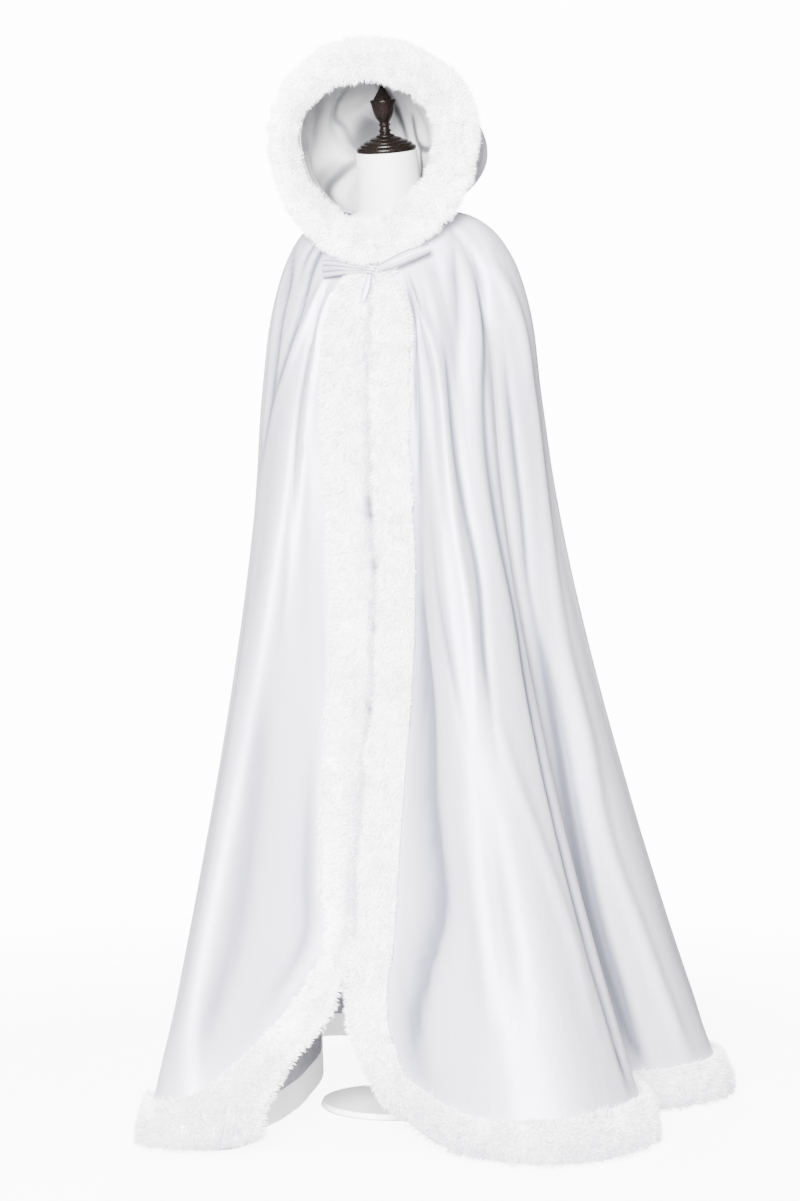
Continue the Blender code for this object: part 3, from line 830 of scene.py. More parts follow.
    def surface(self, stations: np.ndarray, rows: np.ndarray) -> np.ndarray:
        """Points of the smooth drape at every station and row.

        Args:
            stations: Stations of the columns.
            rows: Rows of the grid.

        Returns:
            Grid of points, a column for each station.
        """
        lines = self.lines()
        across = curve_through(np.arange(len(lines)), lines, stations)
        knots = np.arange(lines.shape[1])
        grid = np.array([
            curve_through(knots, column, self.places(station, rows))
            for station, column in zip(stations, across)
        ])
        edge, seam = (curve_through(knots, line, rows) for line in lines[:2])
        pull = np.clip(1.0 - stations, 0.0, self.tuck_reach)[:, None] * self.tuck
        pull = pull * smooth_step(*self.tuck_rows, rows)
        return grid + (seam - edge) * pull[..., None]


@dataclass
class Folds:
    """Creases of the satin, in (row, station) places of the drape.

    Those in front follow the photograph; the hidden ones are of the same kind.
    """

    under_trim: float = 0.12
    seams: Pair = (8.0, 26.0)
    seam_depth: float = 0.0005
    seam_width: float = 0.0050
    bare_from: Pair = (0.95, 1.14)
    bare_to: Pair = (31.86, 32.05)
    bare_above: Pair = (15.6, 16.4)
    neck_fade: Pair = (-0.4, 1.0)
    room: Pairs = (
        (0.0, 0.0), (1.0, 0.0026), (2.0, 0.0045), (3.0, 0.0064), (4.0, 0.0090), (5.0, 0.0300),
    )
    front: tuple[Crease, ...] = (
        # the wearer's left, from the plush outwards
        Crease(-0.0065, 0.0075, ((1.1, 31.70), (2.5, 31.75), (4.8, 31.80), (6.6, 31.72), (7.4, 31.72))),
        Crease(
            -0.0120, 0.0160,
            ((8.6, 31.85), (9.9, 31.60), (11.0, 31.55), (12.2, 31.42), (13.3, 31.60), (14.9, 31.75)),
        ),
        Crease(0.0045, 0.0075, ((7.6, 31.65), (8.5, 31.65), (9.1, 31.50), (10.2, 31.05))),
        Crease(-0.0045, 0.0090, ((7.5, 31.30), (8.4, 31.20), (9.4, 30.85), (10.3, 30.50))),
        Crease(0.0075, 0.0115, (
            (1.2, 31.60), (4.3, 31.00), (5.1, 30.50), (6.1, 30.20), (7.6, 30.00), (8.8, 29.70), (10.3, 30.10),
        )),
        Crease(
            -0.0070, 0.0110,
            ((4.8, 30.00), (6.1, 29.70), (7.3, 29.20), (8.2, 28.90), (9.3, 29.20), (10.5, 29.40)),
        ),
        Crease(-0.0065, 0.0135, ((1.8, 26.60), (3.3, 27.80), (4.4, 28.35), (5.6, 28.95))),
        Crease(-0.0065, 0.0100, (
            (2.9, 25.60), (4.0, 25.90), (5.1, 26.60), (5.9, 27.20), (7.4, 27.40), (8.8, 27.25), (9.8, 27.60),
        )),
        Crease(-0.0130, 0.0135, ((9.0, 27.40), (11.0, 27.85), (12.7, 28.00), (14.5, 28.00), (16.0, 28.05))),
        Crease(0.0070, 0.0140, ((9.8, 29.20), (10.8, 28.90), (11.7, 28.60), (12.6, 28.45), (14.4, 28.45))),
        Crease(0.0060, 0.0160, ((10.8, 30.95), (11.8, 30.85), (12.9, 30.80), (14.6, 30.90))),
        Crease(-0.0060, 0.0180, ((10.8, 29.80), (12.0, 29.80), (14.2, 29.80))),
        # the wearer's left side
        Crease(-0.0065, 0.0115, ((5.0, 25.25), (6.3, 24.90), (7.4, 24.90), (8.4, 25.20), (9.4, 25.15))),
        Crease(
            -0.0140, 0.0165,
            ((9.0, 25.15), (10.2, 25.05), (11.3, 25.20), (12.6, 25.28), (14.1, 25.20), (16.2, 25.10)),
        ),
        Crease(0.0080, 0.0150, (
            (2.7, 24.40), (3.7, 24.70), (4.5, 24.30), (5.4, 23.90), (6.6, 23.65), (7.6, 23.85), (8.8, 24.25),
        )),
        Crease(
            0.0100, 0.0170,
            ((8.2, 24.15), (9.2, 24.35), (10.3, 24.35), (11.4, 24.55), (13.0, 24.40), (16.2, 24.20)),
        ),
        # the wearer's right, from the shoulder to the plush
        Crease(-0.0065, 0.0070, (
            (2.7, 4.60), (3.1, 3.80), (3.7, 3.32), (4.4, 3.20), (5.3, 3.02), (6.2, 3.22), (7.2, 3.90),
        )),
        Crease(
            0.0055, 0.0062, ((2.9, 4.90), (3.4, 4.10), (4.2, 3.72), (4.9, 3.46), (5.8, 3.42), (6.6, 3.62)),
        ),
        Crease(-0.0050, 0.0060, ((3.9, 4.40), (4.9, 4.05), (5.8, 3.90), (7.0, 3.90))),
        Crease(-0.0050, 0.0080, ((0.8, 3.45), (1.7, 3.20), (2.6, 3.10), (3.5, 2.75))),
        Crease(-0.0080, 0.0085, (
            (1.0, 2.70), (1.9, 2.60), (2.9, 2.50), (3.6, 2.36), (4.7, 2.36), (5.3, 2.52), (6.6, 3.40),
        )),
        Crease(0.0065, 0.0090, ((1.9, 1.75), (3.5, 1.78), (4.8, 2.00), (5.6, 2.32), (6.4, 2.95))),
        Crease(
            0.0050, 0.0060, ((0.8, 1.25), (2.6, 1.25), (4.5, 1.27), (5.6, 1.34), (6.7, 1.50), (9.4, 1.50)),
        ),
        Crease(
            -0.0040, 0.0060, ((1.8, 1.50), (4.5, 1.52), (5.6, 1.60), (6.7, 1.76), (7.6, 1.78), (9.8, 1.68)),
        ),
        Crease(-0.0055, 0.0260, ((9.0, 1.95), (11.0, 1.78), (13.0, 1.78), (15.4, 1.95))),
        Crease(-0.0050, 0.0100, ((10.4, 1.16), (12.0, 1.13), (14.0, 1.18))),
        Crease(0.0045, 0.0200, ((8.6, 2.90), (11.0, 2.60), (13.0, 2.50), (15.4, 2.60))),
    )
    hidden: tuple[Crease, ...] = (
        Crease(-0.0090, 0.0160, ((7.0, 9.2), (10.0, 9.3), (13.0, 9.2), (16.0, 9.1))),
        Crease(0.0060, 0.0150, ((6.4, 10.3), (9.0, 10.4), (12.0, 10.5), (16.0, 10.6))),
        Crease(-0.0070, 0.0140, ((4.6, 11.6), (7.0, 11.8), (10.0, 11.6))),
        Crease(-0.0080, 0.0160, ((6.6, 13.9), (9.6, 14.1), (12.6, 14.0), (16.0, 14.0))),
        Crease(0.0060, 0.0150, ((5.0, 15.2), (8.0, 15.4), (11.0, 15.1))),
        Crease(-0.0080, 0.0150, ((6.2, 17.1), (9.0, 16.9), (13.0, 17.0), (16.0, 17.0))),
        Crease(0.0060, 0.0150, ((7.2, 18.0), (11.0, 18.2), (15.6, 18.1))),
        Crease(-0.0070, 0.0140, ((4.8, 19.2), (7.6, 19.0), (11.6, 19.1), (16.0, 19.1))),
        Crease(-0.0080, 0.0150, ((6.0, 21.2), (9.0, 21.0), (12.6, 21.1), (16.0, 21.0))),
        Crease(0.0070, 0.0170, ((5.4, 22.6), (9.0, 22.8), (13.0, 22.6), (16.0, 22.6))),
        Crease(-0.0070, 0.0140, ((5.6, 6.2), (8.6, 6.4), (12.6, 6.3), (16.0, 6.3))),
        Crease(0.0060, 0.0140, ((5.2, 4.9), (8.2, 4.8), (12.2, 4.9), (15.6, 5.0))),
        Crease(-0.0050, 0.0120, ((8.2, 3.4), (11.2, 3.3), (15.2, 3.5))),
    )
    # Painted shade only: these move no cloth; each height is the share of shade painted along its line.
    shades: tuple[Crease, ...] = (
        Crease(
            0.65, 0.0400,
            ((7.4, 31.95), (9.9, 31.70), (11.0, 31.60), (12.2, 31.50), (13.3, 31.65), (16.4, 31.85)),
        ),
        Crease(0.35, 0.0300, ((1.0, 31.55), (3.0, 31.45), (5.0, 31.30), (6.6, 31.50), (8.0, 31.80))),
        Crease(0.30, 0.0280, ((1.4, 30.10), (3.0, 29.60), (5.0, 29.40), (7.4, 29.10))),
        Crease(
            0.55, 0.0340,
            ((8.4, 25.30), (10.2, 25.35), (11.3, 25.45), (12.6, 25.55), (14.1, 25.50), (16.4, 25.40)),
        ),
        Crease(0.40, 0.0240, ((3.6, 26.30), (5.1, 26.80), (6.6, 27.30), (8.8, 27.35), (10.4, 27.70))),
        Crease(0.45, 0.0220, ((12.0, 23.40), (13.6, 23.30), (16.4, 23.20))),
        Crease(0.45, 0.0150, ((2.2, 4.90), (3.1, 3.80), (4.4, 3.25), (5.6, 3.20), (6.8, 3.60))),
        Crease(0.40, 0.0130, ((1.0, 2.70), (2.9, 2.50), (4.7, 2.36), (6.0, 2.80))),
        Crease(0.30, 0.0200, ((10.6, 1.20), (12.6, 1.16), (15.0, 1.30))),
        Crease(0.22, 0.0500, ((9.0, 1.95), (12.0, 1.80), (15.8, 2.00))),
    )

    def spots(
        self, stations: np.ndarray, rows: np.ndarray, points: np.ndarray
    ) -> tuple[np.ndarray, np.ndarray, np.ndarray]:
        """Row and station of each point, and the width of a station there in metres.

        Args:
            stations: Stations of the columns.
            rows: Rows of the grid.
            points: The smooth drape.

        Returns:
            Rows, stations and widths, one of each for every point.
        """
        station, row = np.meshgrid(stations, rows, indexing="ij")
        pitch = np.linalg.norm(np.gradient(points, axis=0), axis=2) / np.gradient(station, axis=0)
        return row, station, pitch

    def tone(self, stations: np.ndarray, rows: np.ndarray, points: np.ndarray) -> np.ndarray:
        """How much shade is painted on the satin in the broad hollows beside its folds."""
        spots = self.spots(stations, rows, points)
        return sum(shade.lift(*spots) for shade in self.shades)

    def lift(self, stations: np.ndarray, rows: np.ndarray, points: np.ndarray) -> np.ndarray:
        """How far the creases move each point of the drape out.

        Args:
            stations: Stations of the columns.
            rows: Rows of the grid.
            points: The smooth drape.

        Returns:
            The move along the normal.
        """
        row, station, pitch = self.spots(stations, rows, points)
        total = sum(crease.lift(row, station, pitch) for crease in (*self.front, *self.hidden))
        bare = smooth_step(*self.bare_from, station) * (1.0 - smooth_step(*self.bare_to, station))
        bare *= 1.0 - smooth_step(*self.bare_above, row)
        total *= self.under_trim + (1.0 - self.under_trim) * bare
        for seam in self.seams:
            total -= self.seam_depth * np.exp(-(((station - seam) * pitch / self.seam_width) ** 2))
        room = np.interp(row, *np.transpose(self.room))
        return np.maximum(total * smooth_step(*self.neck_fade, row), -room)


@dataclass
class SatinBody:
    """The back, the two fronts and the facing inside the hem."""

    drape: CloakDrape
    folds: Folds
    finish: bpy.types.Material
    tape: bpy.types.Material
    thickness: float = 0.0014
    rows: int = 100
    per_station: int = 12
    trim: float = 0.0005
    lowest: float = 0.010
    # How strongly bends and troughs darken the satin's colour, as painted shade.
    bend_gain: float = 0.0016
    bend_most: float = 0.7
    full_depth: float = 0.0120
    facing_thickness: float = 0.0010
    facing_inset: float = 0.0022
    facing_top: float = 16.32
    facing_columns: int = 330
    facing_rows: int = 7

    def sheet(self, first: float, last: float, columns: int) -> tuple[np.ndarray, np.ndarray]:
        """Points of a panel and how much shade is painted on each, most in a trough.

        Args:
            first: First station.
            last: Last station.
            columns: How many columns.

        Returns:
            Grid of points and the painted shade of each.
        """
        stations = np.linspace(first, last, columns)
        rows = np.linspace(0.0, self.drape.last_row, self.rows)
        smooth = self.drape.surface(stations, rows)
        normals = surface_normals(smooth)
        lift = self.folds.lift(stations, rows, smooth)
        points = smooth + normals * lift[..., None]
        points[:, :, 2] = np.maximum(points[:, :, 2], self.lowest)
        # Painted shade in hollows: where the cloth bends inwards its colour is darkened.
        bend = np.zeros(lift.shape)
        bend[2:-2] = ((points[:-4] + points[4:] - 2 * points[2:-2]) * normals[2:-2]).sum(axis=2)
        pitch = np.linalg.norm(np.gradient(points, axis=0), axis=2)
        hollow = np.clip(bend / (pitch * pitch) * self.bend_gain, 0.0, self.bend_most)
        tone = self.folds.tone(stations, rows, smooth)
        # Painted shade: the depth of a trough, the bending hollows and the broad painted hollows add up.
        return points, np.clip(np.maximum(0.0, -lift) / self.full_depth + hollow + tone, 0.0, 1.0)

    def panel(
        self, name: str, first: float, last: float
    ) -> bpy.types.Object:
        """Make one panel.

        Args:
            name: The panel, as its solid is named.
            first: First station.
            last: Last station.

        Returns:
            The finished panel.
        """
        columns = int((last - first) * self.per_station) + 1
        start = first + (self.trim if first else 0.0)
        end = last - (self.trim if last < self.drape.last else 0.0)
        points, deep = self.sheet(start, end, columns)
        thing = cloth_wall(f"satin_{name}", points, deep, self.finish, self.thickness)
        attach(thing, "root")
        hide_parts(name)
        return thing

    def facing(self) -> bpy.types.Object:
        """Make the facing that runs round inside the hem.

        Returns:
            The finished facing.
        """
        stations = np.linspace(0.0, self.drape.last, self.facing_columns)
        rows = np.linspace(self.facing_top, self.drape.last_row, self.facing_rows)
        smooth = self.drape.surface(stations, rows)
        points = smooth - surface_normals(smooth) * self.facing_inset
        flat_cloth = np.zeros(points.shape[:2])
        thing = cloth_wall("satin_hem_facing", points, flat_cloth, self.tape, self.facing_thickness)
        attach(thing, "root")
        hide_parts("hem_facing")
        return thing

    def build(self) -> list[bpy.types.Object]:
        """Make every satin piece of the body.

        Returns:
            The finished pieces.
        """
        return [
            self.panel("front_right", 0.0, self.drape.right_seam),
            self.panel("back", self.drape.right_seam, self.drape.left_seam),
            self.panel("front_left", self.drape.left_seam, self.drape.last),
            self.facing(),
        ]


@dataclass
class RingLine:
    """Middle line of the plush ring round the face, from the chin to the crown."""

    table: Rows = (
        (0.004, 1.537, -0.131, 0.037, 16.0),
        (0.042, 1.549, -0.127, 0.039, 18.0),
        (0.086, 1.580, -0.119, 0.041, 22.0),
        (0.133, 1.632, -0.111, 0.041, 28.0),
        (0.156, 1.716, -0.115, 0.042, 31.0),
        (0.142, 1.775, -0.122, 0.043, 30.0),
        (0.108, 1.812, -0.130, 0.043, 28.0),
        (0.055, 1.840, -0.147, 0.040, 22.0),
        (0.000, 1.848, -0.157, 0.037, 20.0),
    )
    middle: Triple = (0.0, -0.125, 1.69)
    back: float = 0.006
    chin_start: float = 0.34

    def frames(self, steps: int, start: float = 0.0) -> tuple[np.ndarray, np.ndarray, np.ndarray, np.ndarray]:
        """Points of the line with the ways across the band and out of its face.

        Args:
            steps: How many steps along the line.
            start: Row of the table to start at.

        Returns:
            Points, ways across, ways out and half widths.
        """
        last = len(self.table) - 1
        samples = curve_through(np.arange(last + 1), self.table, np.linspace(start, last, steps + 1))
        centre = samples[:, [0, 2, 1]]
        way = unit(np.gradient(centre, axis=0))
        out = centre - np.array(self.middle)
        out = unit(out - way * (out * way).sum(axis=1, keepdims=True))
        ahead = np.cross(way, out)
        ahead = np.where(ahead[:, 1:2] > 0, -ahead, ahead)
        turn = np.radians(samples[:, 4:5])
        wide = out * np.cos(turn) - ahead * np.sin(turn)
        thick = ahead * np.cos(turn) + out * np.sin(turn)
        return centre, wide, thick, samples[:, 3]

    def line(self, steps: int, across: float, rest: float) -> np.ndarray:
        """Line behind the ring, at a share of its half width from the middle.

        Args:
            steps: How many steps along the line.
            across: Share of the half width from the middle.
            rest: Distance kept from the ring's back.

        Returns:
            Points of the line.
        """
        centre, wide, thick, half = self.frames(steps, self.chin_start)
        line = centre + wide * half[:, None] * across - thick * (self.back + rest)
        line[-1, 0] = 0.0
        return line


@dataclass(frozen=True)
class Pleat:
    """A fold pressed into the hood's lining along (along, up) places of its grid."""

    height: float
    width: float
    line: Pairs
    size: Pair = (0.38, 0.34)

    def lift(self, along: np.ndarray, up: np.ndarray) -> np.ndarray:
        """How far the fold moves each point into the hood.

        Args:
            along: Share of the way from the ring to the centre back.
            up: Share of the way from the neckline to the crown.

        Returns:
            The move, negative in a trough.
        """
        scale = np.array(self.size)
        spots = np.stack((along, up), axis=-1) * scale
        knots = curve_through(
            np.arange(len(self.line)), np.array(self.line) * scale, np.linspace(0, len(self.line) - 1, 80)
        )
        apart = np.linalg.norm(spots[:, :, None] - knots, axis=3)
        nearest = apart.argmin(axis=2)
        taper = np.sin(np.pi * np.clip((nearest + 1.5) / (len(knots) + 2), 0.0, 1.0)) ** 0.5
        return self.height * taper * np.exp(-((apart.min(axis=2) / self.width) ** 2))


@dataclass
class Hood:
    """Two satin halves joined over the crown, with their lining."""

    drape: CloakDrape
    ring: RingLine
    satin: bpy.types.Material
    lining: bpy.types.Material
    arches: Rows = (
        (32.0, -0.098, 1.873, 0.232, -0.046, 1.706, 0.180),
        (56.0, -0.056, 1.869, 0.228, -0.030, 1.718, 0.158),
        (82.0, -0.006, 1.853, 0.236, -0.002, 1.712, 0.130),
        (108.0, 0.044, 1.822, 0.272, 0.030, 1.686, 0.108),
        (136.0, 0.086, 1.776, 0.190, 0.070, 1.680, 0.082),
        (160.0, 0.112, 1.716, 0.090, 0.110, 1.655, 0.046),
        (180.0, 0.119, 1.664, 0.000, 0.122, 1.622, 0.000),
    )
    columns: int = 101
    rows: int = 81
    base_lift: float = 0.0034
    seam_gap: float = 0.0003
    coarse_columns: int = 14
    coarse_rows: int = 11
    satin_thickness: float = 0.0014
    lining_thickness: float = 0.0010
    ring_edge: float = 0.70
    satin_rest: float = 0.0017
    lining_rest: float = 0.0032
    lining_inset: float = 0.00195
    brim_reach: float = 2.2
    brim_bulge: float = 0.022
    lining_drop: float = 0.006
    fold_depth: float = 0.010
    pleat_depth: float = 0.008
    pleat_push: float = 0.1
    pleat_most: float = 0.0009
    folds: Rows = (
        (0.004, 0.040, 0.10, 0.16, 0.16, 0.92),
        (-0.004, 0.035, 0.24, 0.10, 0.26, 0.70),
        (0.004, 0.045, 0.40, 0.05, 0.36, 0.60),
        (-0.004, 0.040, 0.55, 0.05, 0.50, 0.50),
        (0.004, 0.050, 0.72, 0.04, 0.66, 0.45),
        (-0.003, 0.040, 0.86, 0.04, 0.82, 0.40),
    )
    pleats: dict[Side, tuple[Pleat, ...]] = field(default_factory=lambda: {
        Side.RIGHT: (
            Pleat(
                0.0080, 0.0060,
                ((0.36, 0.80), (0.42, 0.70), (0.46, 0.63), (0.51, 0.59), (0.58, 0.56), (0.66, 0.51)),
            ),
            Pleat(-0.0085, 0.0056, ((0.45, 0.78), (0.49, 0.68), (0.55, 0.63), (0.63, 0.62), (0.72, 0.55))),
            Pleat(-0.0045, 0.0150, ((0.30, 0.66), (0.38, 0.58), (0.47, 0.50), (0.58, 0.44))),
            Pleat(-0.0240, 0.0062, ((0.58, 0.08), (0.63, 0.18), (0.69, 0.29), (0.72, 0.37), (0.76, 0.50))),
            Pleat(-0.0080, 0.0120, ((0.54, 0.10), (0.60, 0.22), (0.66, 0.32), (0.70, 0.42))),
            Pleat(0.0090, 0.0090, ((0.66, 0.10), (0.72, 0.22), (0.76, 0.32), (0.80, 0.40))),
            Pleat(-0.0420, 0.0190, ((0.67, 0.78), (0.71, 0.70), (0.735, 0.62), (0.73, 0.54))),
            Pleat(-0.0110, 0.0170, ((0.70, 0.86), (0.75, 0.76), (0.78, 0.66), (0.80, 0.56))),
            Pleat(0.0060, 0.0120, ((0.46, 0.90), (0.53, 0.80), (0.56, 0.72))),
            Pleat(-0.0300, 0.0056, ((0.50, 0.90), (0.57, 0.92), (0.63, 0.93), (0.71, 0.94), (0.80, 0.95))),
            Pleat(-0.0050, 0.0140, ((0.28, 0.30), (0.40, 0.34), (0.52, 0.28))),
        ),
        Side.LEFT: (
            Pleat(0.0080, 0.0080, ((0.56, 0.93), (0.66, 0.89), (0.74, 0.82), (0.84, 0.78))),
            Pleat(-0.0320, 0.0048, ((0.70, 0.97), (0.78, 0.96), (0.82, 0.92), (0.83, 0.84), (0.81, 0.76))),
            Pleat(-0.0300, 0.0044, ((0.82, 0.92), (0.88, 0.88), (0.93, 0.78), (0.97, 0.62))),
            Pleat(-0.0090, 0.0110, ((0.60, 0.88), (0.68, 0.80), (0.76, 0.72), (0.86, 0.70))),
            Pleat(0.0060, 0.0120, ((0.62, 0.60), (0.72, 0.56), (0.84, 0.52))),
            Pleat(-0.0060, 0.0120, ((0.40, 0.62), (0.56, 0.54), (0.70, 0.46))),
        ),
    })

    def arch(self, row: np.ndarray, steps: np.ndarray) -> np.ndarray:
        """One arch from the neckline over the side to its top.

        Args:
            row: The arch's row of the table.
            steps: Shares of the way up.

        Returns:
            Points of the arch.
        """
        degrees, top_y, top_z, side_x, side_y, side_z, crown_x = row
        foot = self.drape.neckline(math.radians(degrees))
        foot[2] += self.base_lift
        top = np.array((0.0, top_y, top_z))
        side = np.array((side_x, side_y, side_z))
        crown = top + np.array((crown_x, 0.0, 0.0))
        step = steps.reshape(-1, 1)
        rest = 1.0 - step
        return rest**3 * foot + 3 * rest**2 * step * side + 3 * rest * step**2 * crown + step**3 * top

    def grid(self) -> np.ndarray:
        """Left half of the hood as a fine grid, from the ring to the centre back.

        Returns:
            Grid of points, a column for each place from the ring backwards.
        """
        steps = np.linspace(0.0, 1.0, self.rows)
        known = len(self.arches)
        spots = np.linspace(0, known - 1, self.coarse_columns - 1)
        table = curve_through(np.arange(known), self.arches, spots)
        first = curve_through(
            np.arange(self.coarse_rows + 1),
            self.ring.line(self.coarse_rows, self.ring_edge, self.satin_rest),
            steps * self.coarse_rows,
        )
        arches = np.array([first, *(self.arch(row, steps) for row in table)])
        places = [0, *range(2, self.coarse_columns + 1)]
        return curve_through(places, arches, np.linspace(0, self.coarse_columns, self.columns))

    def normals(self, grid: np.ndarray) -> np.ndarray:
        """Outward normals, true to the centre line.

        Args:
            grid: Grid of points of the left half.

        Returns:
            Normal at each point.
        """
        normals = surface_normals(grid)
        profile = np.concatenate((grid[:, -1], grid[-1, -2::-1]))
        way = np.gradient(profile, axis=0)
        out = unit(np.column_stack((np.zeros(len(way)), -way[:, 2], way[:, 1])))
        normals[:, -1] = out[:len(grid)]
        normals[-1, ::-1] = out[len(grid) - 1:]
        return normals

    def creases(self) -> np.ndarray:
        """Soft folds of the hood over its grid.

        Returns:
            How far each point moves out.
        """
        along, up = np.meshgrid(np.linspace(0, 1, self.columns), np.linspace(0, 1, self.rows), indexing="ij")
        total = np.zeros(along.shape)
        for height, width, low_at, low, high_at, high in self.folds:
            share = np.clip((up - low) / (high - low), 0.0, 1.0)
            middle = low_at + (high_at - low_at) * share
            fade = smooth_step(low - 0.05, low + 0.12, up) * (1.0 - smooth_step(high - 0.2, high, up))
            total += height * fade * np.exp(-(((along - middle) / width) ** 2))
        edge = smooth_step(0.04, 0.14, along) * (1.0 - smooth_step(0.90, 0.99, along))
        edge *= smooth_step(0.02, 0.12, up) * (1.0 - smooth_step(0.86, 0.98, up))
        return total * edge

    def half(
        self, side: Side, name: str, points: np.ndarray, deep: np.ndarray, finish: bpy.types.Material,
        thickness: float, slot: str, flat: Pair, area: float,
    ) -> bpy.types.Object:
        """Make one half of the hood or its lining.

        Args:
            side: Which side of the wearer.
            name: The piece, as its solid is named.
            points: Points of the left half.
            deep: Painted shade of each, most deep in a fold.
            finish: Its material.
            thickness: Its thickness.
            slot: Not used.
            flat: Width and length of the cut; not used.
            area: Its flat area; not used.

        Returns:
            The finished half.
        """
        if side is Side.RIGHT:
            points = (points * np.array((-1.0, 1.0, 1.0)))[::-1]
            deep = deep[::-1]
        thing = cloth_wall(f"cloth_{name}", points, deep, finish, thickness)
        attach(thing, "root")
        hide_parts(name)
        return thing

    def build(self) -> list[bpy.types.Object]:
        """Make both halves and both linings.

        Returns:
            The finished pieces.
        """
        shell = self.grid()
        out = self.normals(shell)
        aside = np.array((self.seam_gap / 2, 0.0, 0.0))
        shell = shell + aside
        lift = self.creases()
        satin = shell + out * lift[..., None]
        # Painted shade in the hood's folds, full at fold_depth.
        deep = np.clip(-lift / self.fold_depth, 0.0, 1.0)
        places = np.linspace(0, len(self.arches), self.columns)
        brim = curve_through(
            np.arange(self.coarse_rows + 1),
            self.ring.line(self.coarse_rows, -self.ring_edge, self.lining_rest),
            np.linspace(0, self.coarse_rows, self.rows),
        ) + aside
        share = (np.maximum(0.0, 1.0 - places / self.brim_reach) ** 2).reshape(-1, 1, 1)
        bulge = np.array((0.0, self.brim_bulge, 0.0))
        inside = shell - out * (self.lining_inset + np.maximum(0.0, -lift)[..., None])
        inside = inside * (1.0 - share) + brim * share + bulge * share * (1.0 - share)
        inside_out = self.normals(inside)
        along, up = np.meshgrid(np.linspace(0, 1, self.columns), np.linspace(0, 1, self.rows), indexing="ij")
        inside[:, :, 2] -= self.lining_drop * (1.0 - smooth_step(0.0, 0.10, up))
        edges = smooth_step(0.10, 0.22, along) * (1.0 - smooth_step(0.96, 1.0, along))
        edges = edges * (1.0 - smooth_step(0.97, 1.0, up))
        made = []
        for side, word in ((Side.LEFT, "left"), (Side.RIGHT, "right")):
            made.append(self.half(
                side, f"hood_{word}", satin[::2, ::2], deep[::2, ::2], self.satin, self.satin_thickness,
                "satin", (0.40, 0.54), 0.103,
            ))
            inward = sum(pleat.lift(along, up) for pleat in self.pleats[side]) * edges
            pressed = np.maximum(inward * self.pleat_push, -self.pleat_most)
            lined = inside - inside_out * np.where(inward > 0.0, inward, pressed)[..., None]
            # Painted shade in the lining's pleats, darkest in the deepest ones.
            folded = 1.0 - np.exp(np.minimum(inward, 0.0) / self.pleat_depth)
            made.append(self.half(
                side, f"hood_lining_{word}", lined, folded, self.lining, self.lining_thickness,
                "lining", (0.40, 0.54), 0.112,
            ))
        return made


